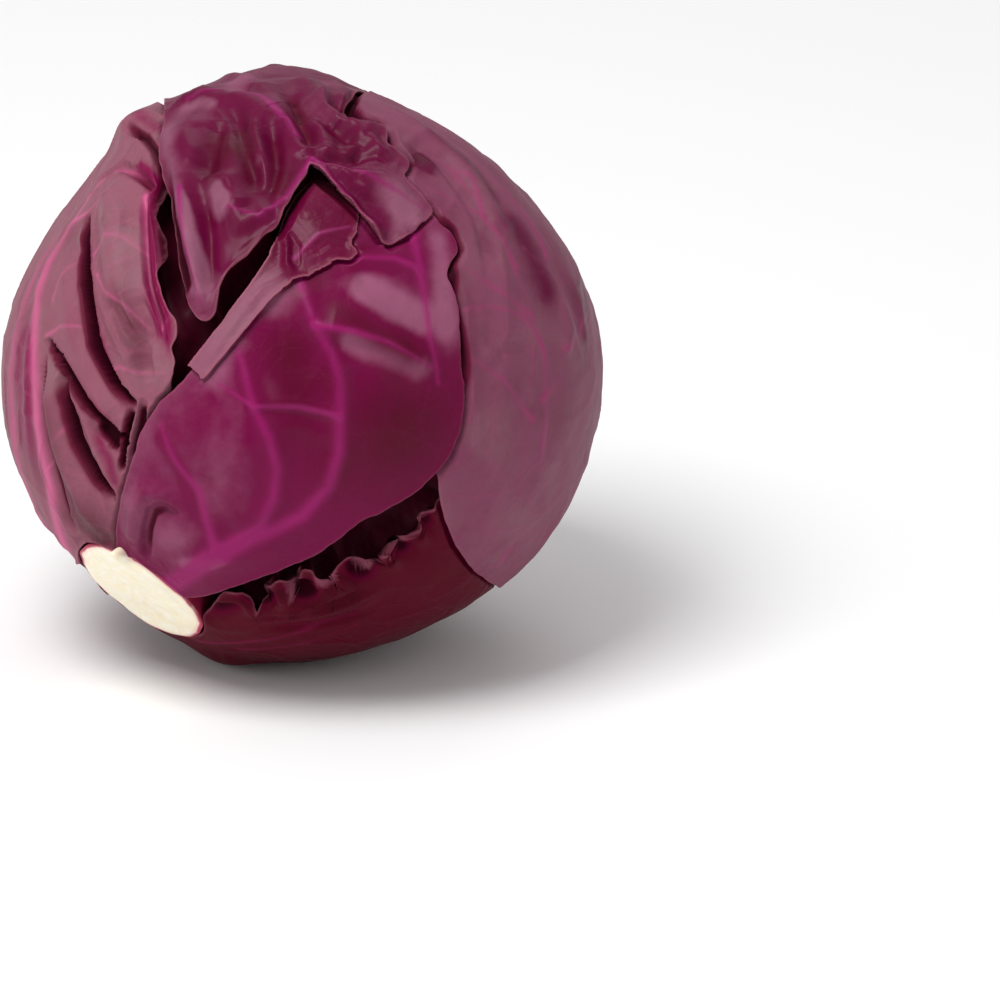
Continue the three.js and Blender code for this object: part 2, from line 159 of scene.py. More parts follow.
# Studio: the floor's half width, the lights' aim, and each light's place from there in
# metres, its size in metres and its power in watts.
FLOOR_REACH = 6.0
LIGHT_AIM = np.array([0.0, 0.0, 0.08])
LIGHTS = {
    "key": ((-0.45, -0.55, 1.25), 0.7, 16.0),
    "left": ((-1.2, -0.5, 0.45), 0.8, 2.6),
    "fill": ((1.1, -0.9, 0.7), 1.1, 2.6),
    "top_back": ((0.2, 0.9, 1.1), 0.9, 3.4),
}
STUDIO_WHITE = 0.42


def colour(red, green, blue):
    """An opaque colour."""
    return (red, green, blue, 1.0)


def behind(bearing, angle):
    """A place on the hidden side: bearing anticlockwise from the right, angle from the
    middle of the view."""
    turn = math.radians(bearing)
    far = PICTURE_RADIUS * angle / 90
    return (PICTURE_CENTRE[0] + far * math.cos(turn), PICTURE_CENTRE[1] - far * math.sin(turn))


def hidden(*places):
    """Several places on the hidden side, each a bearing and an angle."""
    return [behind(*place) for place in places]


def direction(places):
    """Unit directions for places in the picture: the distance from the centre is the
    sine of the angle up to the rim, and beyond it grows evenly with the angle."""
    flat = (np.atleast_2d(np.array(places, float)) - PICTURE_CENTRE) / PICTURE_RADIUS
    far = np.hypot(flat[:, 0], flat[:, 1])
    angle = np.where(far <= 1, np.arcsin(np.minimum(far, 1)), far * math.pi / 2)
    share = np.where(far > 0, np.sin(angle) / np.maximum(far, 1e-9), 1)
    right = flat[:, 0] * share
    up = -flat[:, 1] * share
    return right[:, None] * RIGHT + up[:, None] * UP + np.cos(angle)[:, None] * NEAR


STUMP_AXIS = direction(STUMP_PLACE)[0]


def smooth_step(low, high, value):
    """0 below low and 1 above high, with a smooth cubic between."""
    t = np.clip((value - low) / (high - low), 0, 1)
    return t * t * (3 - 2 * t)


def smooth_min(one, other, blend):
    """The lower of two heights, rounded where they cross."""
    mix = np.clip(0.5 + (other - one) / (2 * blend), 0, 1)
    return other * (1 - mix) + one * mix - blend * mix * (1 - mix)


def waves(turn, parts):
    """The sum of several sine waves, each a count, a strength and a phase."""
    return sum(strength * np.sin(count * turn + phase) for count, strength, phase in parts)


class Line:
    """A line of places on the head. It measures each point's distance from the line
    in mm, how far along the line its nearest place is, and on which side it lies."""

    def __init__(self, path):
        self.stops = direction(path)

    def measure(self, points):
        best = np.full(len(points), np.inf)
        along = np.zeros(len(points))
        side = np.ones(len(points))
        lengths = np.linalg.norm(np.diff(self.stops, axis=0), axis=1)
        starts = np.concatenate([[0], np.cumsum(lengths)])
        for i, length in enumerate(lengths):
            run = self.stops[i + 1] - self.stops[i]
            t = np.clip((points - self.stops[i]) @ run / length**2, 0, 1)
            gap = points - (self.stops[i] + t[:, None] * run)
            span = np.linalg.norm(gap, axis=1)
            closer = span < best
            across = np.cross(run, self.stops[i])
            best = np.where(closer, span, best)
            along = np.where(closer, (starts[i] + t * length) / starts[-1], along)
            side = np.where(closer, np.sign(gap @ across), side)
        return best * HEAD_RADIUS, along, side


def end_fade(along, ends=True):
    """1 along the middle of a line, sinking to END_SHARE at both ends."""
    if not ends:
        return 1.0
    rise = np.clip(np.minimum(along, 1 - along) / END_FADE, 0, 1)
    return END_SHARE + (1 - END_SHARE) * rise


def swell(x, y, reach, height):
    """A round bump: the height times a bell of the distance from its place."""
    place = direction((x, y))[0]

    def form(points):
        span = HEAD_RADIUS * np.linalg.norm(points - place, axis=1)
        return height * np.exp(-((span / reach) ** 2))

    return form


def swells(*bumps):
    """Several round bumps, each a place, a reach and a height."""
    return [swell(*bump) for bump in bumps]


def ridge(path, reach, height, ends=True, left=None):
    """A rounded line: the height times a bell of the distance from the line. Where
    left is given, it is the reach on the line's left side."""
    line = Line(path)

    def form(points):
        span, along, side = line.measure(points)
        width = reach if left is None else np.where(side < 0, left, reach)
        return height * end_fade(along, ends) * np.exp(-((span / width) ** 2))

    return form


def slot(path, reach, depth, left=None):
    """A steep-sided line: the full depth out to the floor's share of its reach, then
    a smooth wall up to the brow. Where left is given, it is the reach on the left."""
    line = Line(path)

    def form(points):
        span, along, side = line.measure(points)
        width = reach if left is None else np.where(side < 0, left, reach)
        wall = smooth_step(width * SLOT_FLOOR, width * SLOT_BROW, span)
        return -depth * end_fade(along) * (1 - wall)

    return form


def ruffle(path, reach, height, count, phase=0.0):
    """A wavy margin: a sine wave along a line, its steps made uneven by a slower
    one, under a bell of the distance from the line."""
    line = Line(path)

    def form(points):
        span, along, _ = line.measure(points)
        wave = np.sin(2 * math.pi * count * along + phase + 1.6 * np.sin(7 * along + phase))
        return height * wave * end_fade(along) * np.exp(-((span / reach) ** 2))

    return form


def vein(path, reach, height, strength=1.0):
    """A vein that thins out towards its far end: its form, with strength as its height
    in colour, and its height in mm."""
    line = Line(path)

    def form(points):
        span, along, _ = line.measure(points)
        width = reach * (1.15 - 0.6 * along)
        return strength * (1.1 - 0.5 * along) * np.exp(-((span / width) ** 2))

    return form, height


def total(forms, points):
    """The sum of several forms at each point."""
    return sum((form(points) for form in forms), np.zeros(len(points)))


def unevenness(points, scale, seed):
    """A slow unevenness from about -1 to 1: the mean of four sine waves."""
    return np.sin(scale * (points @ WAVES[:, :3].T) + WAVES[:, 3] + seed).mean(axis=1)


def crumple(points, scale, seed):
    """A finer unevenness: three slow ones, each bent by the one before and twice as fine."""
    sway = unevenness(points, scale, seed)
    fine = unevenness(points + 0.12 * sway[:, None], scale * 2.1, seed + 1.7)
    finest = unevenness(points + 0.08 * fine[:, None], scale * 4.3, seed + 4.1)
    return 0.55 * sway + 0.3 * fine + 0.15 * finest


def creases(points, scale, seed):
    """Sharp folds where a slow unevenness changes sign: 1 on the fold, 0 away from it."""
    sway = unevenness(points, scale * 0.6, seed + 2.2)
    bent = points + 0.1 * sway[:, None]
    return np.clip(1 - 4.5 * np.abs(unevenness(bent, scale, seed)), 0, 1) ** 1.5


# Broad dents and swells of the whole head: place, reach in mm, height in mm.
HEAD_FORM = swells(
    (*behind(66, 92), 30, -6.5), (60, 190, 32, -6), (*behind(38, 92), 34, -4.5),
    (420, 660, 30, -2.5), (126, 114, 9, 3.5), (285, 60, 14, 2.4),
    (70, 566, 9, -3), (222, 658, 9, 2.6), (600, 700, 45, -1.2),
)


def floor_limit(points):
    """The radius at which a downward direction meets the surface the head rests on."""
    down = np.minimum(points[:, 2], SIDE_Z)
    return np.where(points[:, 2] < SIDE_Z, REST_HEIGHT / -down, np.inf)


def head_radius(points):
    """The head's own round form: the ball with its dents, cut by the flat spot."""
    return np.minimum(HEAD_RADIUS + total(HEAD_FORM, points), floor_limit(points))


def clear_of_stump(points):
    """Directions inside the stump's cone are moved out to its edge."""
    least = STUMP_ANGLE + STUMP_MARGIN
    cosine = points @ STUMP_AXIS
    away = points - cosine[:, None] * STUMP_AXIS
    away /= np.maximum(np.linalg.norm(away, axis=1), 1e-9)[:, None]
    edge = math.cos(least) * STUMP_AXIS + math.sin(least) * away
    return np.where((cosine > math.cos(least))[:, None], edge, points)


def closed_curve(corners, samples):
    """A smooth closed curve through the corners, at even steps of its own length: a
    centripetal Catmull-Rom spline, worked out as Hermite cubics."""
    before, start, end, after = (np.roll(corners, shift, axis=0) for shift in (1, 0, -1, -2))
    gap_a, gap_b, gap_c = (
        np.sqrt(np.linalg.norm(q - p, axis=1))[:, None]
        for p, q in ((before, start), (start, end), (end, after))
    )
    slope_start = (start - before) / gap_a - (end - before) / (gap_a + gap_b) + (end - start) / gap_b
    slope_end = (end - start) / gap_b - (after - start) / (gap_b + gap_c) + (after - end) / gap_c
    slope_start, slope_end = slope_start * gap_b, slope_end * gap_b
    t = np.linspace(0, 1, CURVE_STEPS, endpoint=False)[None, :, None]
    start, end, slope_start, slope_end = (v[:, None, :] for v in (start, end, slope_start, slope_end))
    curve = (
        start * (2 * t**3 - 3 * t**2 + 1)
        + slope_start * (t**3 - 2 * t**2 + t)
        + end * (-2 * t**3 + 3 * t**2)
        + slope_end * (t**3 - t**2)
    ).reshape(-1, 2)
    curve = np.vstack([curve, curve[:1]])
    lengths = np.concatenate([[0], np.cumsum(np.linalg.norm(np.diff(curve, axis=0), axis=1))])
    steps = np.linspace(0, lengths[-1], samples, endpoint=False)
    return np.column_stack([np.interp(steps, lengths, curve[:, axis]) for axis in (0, 1)])


@dataclass
class Leaf:
    """A leaf: its outline in a flat map round its own middle, and its heights. Its bed
    lies a depth under the head's form, changed by the bed forms. Its face rises over
    the head by rise and relief, curls up by curl within the curl's reach of its edge,
    and is uneven and creased. Veins are raised and coloured; on the crown some run
    along its lit crest as painted highlights. Rubbed, dark and shadow are forms that
    only colour it, over the even wax of bloom: rubbed takes wax off where positive and
    adds it where negative, and some of its lines paint highlights and shade on folds;
    dark darkens the leaf, mostly as painted shade in valleys and beside overlapping
    edges; shadow is painted shadow in slots, cracks and under covering edges. Sway
    pairs a form with the direction in the picture in which it moves the leaf. Columns
    and rings are the mesh's."""

    name: str
    middle: tuple
    outline: list
    depth: float
    rise: float
    relief: list
    bed_forms: tuple = ()
    curl: float = 0.0
    curl_reach: float = 3.0
    uneven: float = 0.0
    uneven_scale: float = 1.8
    creased: float = 0.0
    crease_scale: float = 2.6
    ragged: float = 0.0
    veins: tuple = ()
    rubbed: tuple = ()
    dark: tuple = ()
    shadow: tuple = ()
    bloom: float = 0.5
    sway: tuple = ()
    columns: int = 300
    rings: int = 110

    def __post_init__(self):
        self.centre = direction(self.middle)[0]
        self.east = np.cross([0, 0, 1], self.centre)
        self.east /= np.linalg.norm(self.east)
        self.north = np.cross(self.centre, self.east)
        self.draw_outline()

    def to_map(self, points):
        """Directions to the flat map: distance from the middle along the head, and bearing."""
        angle = np.arccos(np.clip(points @ self.centre, -1, 1))
        flat = np.column_stack([points @ self.east, points @ self.north])
        far = np.maximum(np.linalg.norm(flat, axis=1), 1e-9)
        return flat * (HEAD_RADIUS * angle / far)[:, None]

    def from_map(self, flat):
        """The flat map back to directions."""
        far = np.linalg.norm(flat, axis=1)
        angle = far / HEAD_RADIUS
        share = np.sin(angle) / np.maximum(far, 1e-9)
        spread = flat * share[:, None]
        middle = np.cos(angle)[:, None] * self.centre
        return middle + spread[:, :1] * self.east + spread[:, 1:] * self.north

    def draw_outline(self):
        """The rim in the flat map with its teeth, and its reach at each bearing. The
        bearings only grow, so that the rim is drawn once round."""
        rim = closed_curve(self.to_map(direction(self.outline)), RIM_SAMPLES)
        turn = np.linspace(0, 2 * math.pi, len(rim), endpoint=False)
        far = np.linalg.norm(rim, axis=1)
        rim *= (1 + self.ragged * waves(turn, TEETH) / far)[:, None]
        rim = self.to_map(clear_of_stump(self.from_map(rim)))
        area = np.sum(rim[:, 0] * np.roll(rim[:, 1], -1) - rim[:, 1] * np.roll(rim[:, 0], -1))
        rim = rim if area > 0 else rim[::-1]
        bearing = np.maximum.accumulate(np.unwrap(np.arctan2(rim[:, 1], rim[:, 0])))
        bearing = np.minimum(bearing, bearing[0] + 2 * math.pi)
        self.bearings = bearing
        self.reaches = np.linalg.norm(rim, axis=1)
        self.rim = self.reaches[:, None] * np.column_stack([np.cos(bearing), np.sin(bearing)])

    def outside(self, points):
        """How far outside the outline each direction lies, in mm, negative inside. The
        sign comes from the bearing, the distance from the nearest sample of the rim."""
        flat = self.to_map(points)
        far = np.linalg.norm(flat, axis=1)
        turn = np.mod(np.arctan2(flat[:, 1], flat[:, 0]) - self.bearings[0], 2 * math.pi)
        reach = np.interp(turn, self.bearings - self.bearings[0], self.reaches)
        gap = far - reach
        rim = self.rim[::RIM_STRIDE]
        rim_square = (rim**2).sum(axis=1)
        where = np.flatnonzero(np.abs(gap) < NEAR_RIM)
        for part in np.array_split(where, max(1, len(where) // POINTS_AT_ONCE)):
            square = (flat[part] ** 2).sum(axis=1)[:, None] + rim_square - 2 * flat[part] @ rim.T
            nearest = np.sqrt(np.maximum(square.min(axis=1), 0))
            gap[part] = np.where(gap[part] < 0, -nearest, nearest)
        return gap

    def own_bed(self, points, head):
        """The leaf's lowest place where nothing covers it."""
        return head - self.depth + total(self.bed_forms, points)


def ceiling_under(covers, outsides, beds, count):
    """The highest a covered leaf may be: a gap under each cover's bed, climbing back
    up at the step's slope beside the cover."""
    limit = np.full(count, OPEN_SKY)
    for cover in covers:
        beside = np.maximum(0, outsides[cover.name] - STEP_CLEARANCE)
        limit = np.minimum(limit, beds[cover.name] - LEAF_GAP + beside * STEP_SLOPE)
    return limit


def stack(leaf_list, points):
    """Each leaf's outside distance, ceiling and bed at the points, outermost first."""
    head = head_radius(points)
    outsides, beds, ceilings = {}, {}, {}
    for place, leaf in enumerate(leaf_list):
        ceiling = ceiling_under(leaf_list[:place], outsides, beds, len(points))
        outsides[leaf.name] = leaf.outside(points)
        ceilings[leaf.name] = ceiling
        beds[leaf.name] = np.minimum(leaf.own_bed(points, head), ceiling - LEAF_THICKNESS)
    return head, outsides, beds, ceilings


def leaf_height(leaf, points, head, outside, bed, ceiling):
    """The radius of the leaf's outer face: the head's form and the relief, kept over
    the bed and rounded down under the ceiling."""
    curl = leaf.curl * np.exp(-((np.maximum(0, -outside) / leaf.curl_reach) ** 2))
    near_rest = smooth_step(REST_Z, RELIEF_Z, points[:, 2])
    uneven = leaf.uneven * crumple(points, leaf.uneven_scale, leaf.depth)
    uneven += leaf.creased * creases(points, leaf.crease_scale, leaf.depth)
    relief = leaf.rise + total(leaf.relief, points) + curl + uneven
    veins = sum((height * form(points) for form, height in leaf.veins), np.zeros(len(points)))
    face = np.maximum(head + (relief + veins) * near_rest, bed + LEAF_THICKNESS)
    return np.minimum(smooth_min(face, ceiling, CEILING_BLEND), floor_limit(points))


# The leaves, outermost first.
LEAVES = [
    Leaf(
        "crown_leaf",
        middle=(262, 130),
        outline=[
            (163, 112), (160, 140), (164, 176), (168, 203), (171, 223), (173, 244), (176, 264), (181, 284),
            (190, 305), (200, 318), (211, 324), (219, 315), (221, 296), (229, 276), (246, 261), (266, 239),
            (280, 229), (287, 211), (297, 195), (307, 180), (313, 170), (326, 184), (340, 198), (357, 215),
            (372, 234), (384, 246), (404, 241), (420, 228), (432, 213), (424, 200), (408, 186), (404, 180),
            (409, 166), (396, 154), (388, 150), (386, 132), (366, 126), (350, 114), (347, 104), (355, 92),
            (380, 66),
            *hidden((72, 110), (82, 128), (108, 132), (122, 120), (118, 104), (117, 94)),
        ],
        depth=1.7, rise=0, curl=0.5, curl_reach=1.2, uneven=1.1, uneven_scale=2.2, creased=0.55,
        crease_scale=1.9, ragged=0.15,
        bed_forms=[
            swell(385, 192, 14, 2.0),
            slot([(160, 178), (168, 225), (180, 270), (196, 312)], 6, 4.5),
            *swells(
                (213, 262, 12, -4), (252, 160, 22, -4), (345, 150, 12, -4), (338, 106, 8, -3),
                (300, 115, 12, -3),
            ),
        ],
        relief=[
            ridge([(165, 110), (200, 98), (240, 104), (268, 118), (285, 122)], 5, 3.0),
            ridge([(285, 122), (300, 145), (312, 162)], 3, 2.6),
            swell(224, 160, 12, 2.4),
            ridge([(185, 186), (191, 240), (199, 290), (208, 316)], 3.6, 3.2),
            ridge([(172, 130), (178, 165), (186, 200)], 4, 1.6),
            ridge([(222, 206), (246, 226), (276, 214)], 3.4, 2.4),
            ridge([(207, 205), (211, 240), (213, 272), (214, 296)], 2.2, -2.2),
            ridge([(216, 318), (217, 296), (224, 276)], 1.2, 0.9),
            ridge([(206, 182), (230, 186), (246, 214)], 3.0, 2.2),
            ridge([(222, 124), (215, 160), (212, 186)], 3.2, -2.6),
            ridge([(236, 112), (246, 150), (262, 194)], 2.8, -2.4),
            ridge([(272, 130), (280, 170), (270, 206)], 2.4, -2.4),
            ridge([(252, 122), (262, 160), (272, 200)], 2.2, 1.4),
            ridge([(290, 150), (284, 180), (276, 208)], 2.0, 1.2),
            slot([(162, 178), (168, 220), (178, 262), (192, 306)], 3.4, 4.2),
            swell(375, 178, 13, 2.2),
            ridge([(330, 124), (348, 142), (336, 158)], 2.8, -2.4),
            ridge([(316, 160), (345, 150), (372, 130), (386, 132)], 3.0, 2.0),
            ridge([(316, 168), (350, 182), (380, 184), (410, 200)], 2.0, 1.7),
            ridge([(318, 163), (345, 167), (375, 160), (398, 168)], 1.9, -2.0),
            ridge([(314, 172), (340, 192), (366, 222), (384, 242)], 1.5, 1.6),
            ridge([(330, 180), (360, 206), (394, 224)], 2.4, -1.5),
            slot([(357, 92), (349, 106), (356, 119), (374, 127)], 1.6, 2.0),
            ridge([(322, 92), (326, 110), (340, 124), (364, 131)], 1.9, 2.2),
            swell(340, 106, 3.2, -2.8),
            ridge([(304, 118), (322, 132), (322, 150)], 2.2, 1.5),
            ridge([(346, 138), (362, 150), (356, 166)], 2.0, -1.6),
            ridge([(372, 140), (378, 156), (392, 166)], 1.8, 1.4),
            ridge([(338, 176), (352, 190), (372, 196)], 1.8, 1.3),
            swell(185, 148, 8, 1.2),
            ridge([(290, 92), (303, 124), (313, 156)], 3.0, -2.8),
            ridge([(262, 84), (272, 98), (288, 112)], 3.4, 1.2),
            swell(278, 68, 16, -1.3),
            ridge([(196, 130), (206, 152), (206, 176)], 2.6, -1.4),
            ridge([(190, 120), (198, 150), (196, 176)], 3.6, 1.3),
            ridge([(222, 70), (246, 78), (256, 92)], 2.6, 1.2),
            ridge([(330, 76), (345, 88), (340, 100)], 2.4, 1.3),
            ridge(hidden((112, 100), (100, 118), (92, 128)), 4, 2.0),
            ridge(hidden((84, 98), (90, 112), (84, 124)), 4, 1.6),
            ridge([behind(100, 96), behind(96, 108)], 4, -1.4),
            ridge([(210, 92), (232, 84), (262, 74)], 3, 1.2),
            ridge([(300, 74), (318, 90), (322, 108)], 3.4, 1.4),
            ridge([(250, 86), (240, 95), (226, 98)], 2.8, -1.4),
            *swells((196, 128, 7, 1.4), (204, 236, 4, 1.0)),
            ruffle([(330, 186), (357, 216), (384, 245), (410, 238), (430, 214)], 2.2, 0.8, 5),
        ],
        # The third and fifth veins are painted highlights along the lit crest of the top fold.
        veins=[
            vein([(186, 196), (187, 225), (193, 262), (206, 308)], 0.8, 0.3),
            vein([(313, 165), (290, 200), (262, 222), (232, 214)], 0.9, 0.3),
            vein([(285, 120), (262, 104), (226, 98), (190, 104)], 1.1, 0.3),
            vein([(313, 165), (352, 178), (384, 192), (424, 212)], 0.7, 0.2),
            vein([(300, 140), (285, 122), (268, 112)], 1.2, 0.3),
            vein([(316, 170), (345, 196), (372, 230)], 0.6, 0.2),
        ],
        rubbed=[
            swell(206, 147, 4.5, 0.7),
            ridge([(228, 106), (241, 134), (240, 164), (234, 190)], 2.6, 0.8),
            ridge([(276, 148), (284, 172), (278, 200)], 2.2, 0.7),
            ridge([(193, 186), (207, 222), (224, 264)], 2.4, 0.6),
            ridge([(168, 120), (174, 160), (182, 196)], 2.6, -0.25),
            # Painted highlight: more wax along the lit rim of the lobe.
            ridge([(186, 196), (192, 240), (201, 292)], 2.6, -0.9),
            ridge([(218, 188), (226, 202), (226, 216)], 2.2, -0.9),
            ridge([(252, 148), (258, 164), (266, 182)], 2.0, -0.4),
            ridge([(230, 250), (250, 240), (272, 226)], 4.6, 0.7),
            swell(402, 214, 6, -0.5),
            ridge([(180, 108), (206, 106), (222, 112)], 2.4, -0.4),
            *swells((290, 190, 6, 0.6), (260, 92, 3.6, 0.8), (308, 126, 4, 0.6), (264, 164, 3.4, -0.5)),
            ridge([(316, 172), (336, 190), (356, 206)], 2.2, 0.7),
            *swells((232, 92, 4, -0.4), (300, 82, 5, 0.5)),
            ridge([(226, 122), (236, 160), (250, 200)], 6, 0.8),
            ridge([(262, 126), (274, 165), (270, 205)], 4.5, 0.7),
            ridge([(170, 108), (205, 100), (240, 104), (285, 122), (312, 162)], 3.0, 0.7),
            *swells((222, 150, 8, 0.5), (235, 240, 9, 0.5)),
            ridge([(330, 190), (370, 215), (400, 225)], 5, 0.5),
            swell(350, 152, 9, 0.7),
            ridge([(290, 140), (300, 165), (290, 195)], 4, 0.5),
            swell(305, 86, 6, 0.4),
            ridge([(198, 236), (204, 268), (208, 300)], 3.0, -0.35),
            *swells((270, 76, 5, 0.4), (220, 218, 5, -0.45)),
            # Painted highlight: more wax along the lit rim of the lobe.
            ridge([(186, 205), (188, 245), (196, 290)], 1.8, -0.4),
            *swells((290, 150, 4, -0.4), (392, 205, 8, -0.3), (238, 148, 6, 0.5)),
            ridge([(190, 92), (240, 82), (300, 76), (345, 88)], 3.4, -0.3),
        ],
        # Painted shade: darker down the valleys between the folds, in the slot by the left leaf and in a few
        # dips.
        dark=[
            ridge([(222, 130), (219, 160), (213, 190)], 3.6, 1.0),
            ridge([(242, 122), (250, 168), (258, 200)], 2.8, 0.9),
            ridge([(276, 140), (282, 172), (272, 206)], 2.2, 0.8),
            ridge([(292, 96), (305, 130), (313, 158)], 2.4, 0.5),
            *swells(
                (325, 198, 5, 0.6), (360, 208, 4, 0.5), (345, 148, 6, 0.5), (236, 150, 5, 0.7),
                (290, 186, 5, 0.6), (250, 240, 6, 0.4),
            ),
            slot([(162, 176), (170, 225), (184, 275)], 3.4, -0.5),
        ],
        bloom=0.36, columns=520, rings=136,
    ),
    Leaf(
        "torn_leaf",
        middle=(292, 250),
        outline=[
            (193, 366), (199, 360), (210, 344), (228, 320), (245, 298), (258, 280), (270, 262), (276, 246),
            (278, 234), (282, 220), (290, 200), (303, 180), (322, 168), (344, 184), (362, 206), (359, 226),
            (356, 238), (352, 247), (357, 258), (350, 264), (338, 264), (324, 272), (308, 280), (296, 283),
            (288, 290), (276, 300), (262, 316), (252, 328), (238, 345), (222, 364), (207, 380), (203, 374),
        ],
        depth=-0.4, rise=1.8, curl=0.5, curl_reach=1.0, uneven=0.5, uneven_scale=4, creased=0.3, ragged=0.12,
        relief=[
            ridge([(281, 232), (289, 248), (289, 268), (296, 282)], 1.1, 1.8),
            slot([(286, 236), (297, 252), (296, 272)], 1.5, 0.9),
            swell(325, 238, 6, 1.3),
            ridge([(300, 222), (325, 214), (345, 222)], 3, 0.8),
            slot([(314, 256), (330, 246), (350, 250)], 1.4, 0.5),
            slot([(262, 276), (236, 312), (200, 358)], 1.3, 0.5),
            ridge([(268, 290), (240, 324), (214, 362)], 1.2, 0.4),
        ],
        veins=[vein([(296, 262), (320, 240), (350, 232)], 0.6, 0.2)],
        rubbed=[
            *swells((328, 240, 14, 1.3), (304, 256, 6, 0.7), (306, 228, 8, 0.7)),
            ridge([(296, 236), (324, 222), (350, 230)], 3.0, 0.5),
            ridge([(284, 240), (290, 268)], 1.2, -0.4),
        ],
        # Painted shade under the crown's edge and beside the lobe's slot.
        dark=[swell(318, 222, 6, 0.4), ridge([(284, 230), (272, 262), (262, 280)], 1.6, 0.5)],
        shadow=[
            ridge([
                (290, 206), (300, 190), (314, 180), (330, 194), (346, 210), (358, 222),
            ], 3.0, 0.5, ends=False),
        ],
        bloom=0.8, columns=330, rings=60,
    ),
    Leaf(
        "front_leaf",
        middle=(290, 430),
        outline=[
            (119, 532), (123, 505), (131, 475), (138, 455), (143, 436), (152, 420), (163, 404), (180, 388),
            (198, 368), (224, 335), (250, 302), (280, 268), (318, 238), (352, 212), (396, 210), (431, 208),
            (439, 224), (448, 231), (455, 241), (458, 252), (450, 266), (447, 276), (452, 288), (457, 304),
            (459, 321), (461, 361), (464, 405), (452, 450), (420, 488), (385, 510), (362, 521), (321, 552),
            (280, 570), (241, 584), (197, 596), (178, 594), (156, 574), (138, 558), (122, 552),
        ],
        depth=1.6, rise=0.3, curl=0.3, curl_reach=1.2, uneven=0.55, uneven_scale=1.6, creased=0.12,
        ragged=0.1,
        relief=[
            ridge([(303, 289), (316, 327), (338, 370), (341, 414), (340, 452), (318, 500)], 3.2, 1.3),
            ridge([(241, 352), (258, 400), (278, 455), (276, 497), (250, 530)], 3.0, 1.2),
            ridge([(316, 327), (354, 335), (388, 346), (430, 369)], 2.4, 2.0, left=5.5),
            ridge([(330, 345), (370, 356), (415, 378)], 3.2, -1.0),
            ridge([(350, 278), (390, 306), (424, 346)], 3.4, -1.2),
            ridge([(356, 240), (352, 262), (400, 262), (424, 268)], 2.4, 0.9),
            *swells(
                (372, 298, 10, 1.7), (225, 440, 13, 2.0), (300, 350, 9, -1.4), (305, 450, 9, -1.3),
                (385, 410, 13, 1.0), (236, 505, 8, 1.2), (386, 366, 6, 0.9), (180, 450, 6, 0.9),
            ),
            ridge([(262, 300), (290, 322), (296, 352)], 3.0, -0.9),
            ridge([(256, 402), (300, 404), (339, 414)], 1.6, 0.6),
            ridge([(256, 414), (300, 414), (335, 426)], 2.6, -0.8),
            *swells((250, 455, 8, 0.8), (200, 420, 8, 0.7)),
            ridge([(212, 470), (222, 510), (235, 540)], 3.0, -0.7),
            slot([(150, 552), (152, 528), (156, 512), (166, 507), (176, 513)], 1.0, 4.6, left=1.6),
            ridge([(137, 540), (138, 508), (150, 490), (172, 496)], 2.6, 2.3),
            swell(172, 540, 7, 0.6),
            ridge([(320, 512), (260, 548), (200, 566)], 4.0, 0.8),
            ridge([(124, 500), (140, 450), (162, 410), (196, 376)], 1.6, 0.5),
        ],
        veins=[
            vein([
                (168, 588), (210, 562), (254, 537), (303, 515), (330, 486), (340, 452), (341, 414),
                (341, 383), (334, 356), (316, 327), (303, 289),
            ], 2.2, 0.12),
            vein([
                (168, 584), (206, 556), (263, 523), (276, 497), (280, 468), (272, 436), (258, 410),
                (249, 378), (241, 352),
            ], 1.9, 0.12),
            vein([(339, 416), (300, 408), (256, 406), (223, 385)], 0.9, 0.1),
            vein([(226, 556), (215, 540), (203, 490), (182, 463), (165, 425)], 1.4, 0.1),
            vein([(316, 327), (354, 334), (388, 345), (430, 369)], 0.9, 0.1),
            vein([(411, 222), (415, 246), (420, 274), (426, 306), (430, 340), (438, 384)], 1.4, 0.1),
            vein([(420, 272), (394, 262), (352, 262)], 1.0, 0.1),
            vein([(303, 289), (300, 270), (296, 260)], 0.9, 0.1),
        ],
        rubbed=[
            ridge([
                (316, 300), (334, 356), (341, 414), (338, 452), (303, 515), (240, 540), (190, 560),
            ], 5, 0.55),
            ridge([(241, 352), (262, 410), (280, 468), (263, 523)], 3.2, 0.55),
            *swells((300, 440, 11, 0.6), (395, 440, 20, 0.7), (290, 350, 8, 0.5)),
            ridge([(300, 276), (352, 264), (404, 266)], 3.0, 0.6),
            # Less wax in the shaded band above the fold: part of its painted shade.
            ridge([(322, 306), (352, 320), (376, 337), (424, 356)], 4.0, 0.7),
            ridge([(160, 430), (185, 468), (200, 520)], 2.0, 0.35),
            # More wax on the lit faces of the folds: painted highlights, this line and the next.
            ridge([(350, 284), (394, 307), (436, 328)], 4.6, -0.85),
            ridge([(332, 338), (380, 350), (432, 378)], 4.6, -0.85),
            swell(274, 303, 5, -0.5),
            ridge([(246, 336), (228, 364), (208, 390)], 4.0, -0.35),
            *swells((225, 440, 13, -0.08), (180, 540, 6, -0.35)),
            ridge([(180, 562), (204, 564), (232, 556)], 2.4, -0.7),
            ridge([(190, 586), (250, 566), (300, 544), (352, 512)], 3.6, 0.6),
            ridge([(124, 500), (140, 450), (162, 410), (200, 372)], 3.0, -0.12),
            swell(132, 508, 7, -0.6),
            ridge([(436, 225), (442, 280), (448, 350)], 3.4, -0.5),
            *swells((270, 395, 5, -0.2), (296, 470, 5, -0.25), (300, 292, 3.4, -0.35)),
        ],
        # Painted shade: darker in the dips, in the band above the fold, beside the right edge and under the
        # torn leaf's edge, and broadly over the lower right.
        dark=[
            *swells((290, 352, 8, 0.75), (400, 430, 18, 0.95), (330, 470, 8, 0.35), (300, 428, 7, 0.35)),
            ridge([(324, 306), (352, 321), (376, 338), (424, 357)], 3.4, 0.7),
            ridge([(460, 250), (462, 380)], 3.0, 0.4),
            ridge([(288, 300), (312, 276), (330, 292)], 4.0, 0.5),
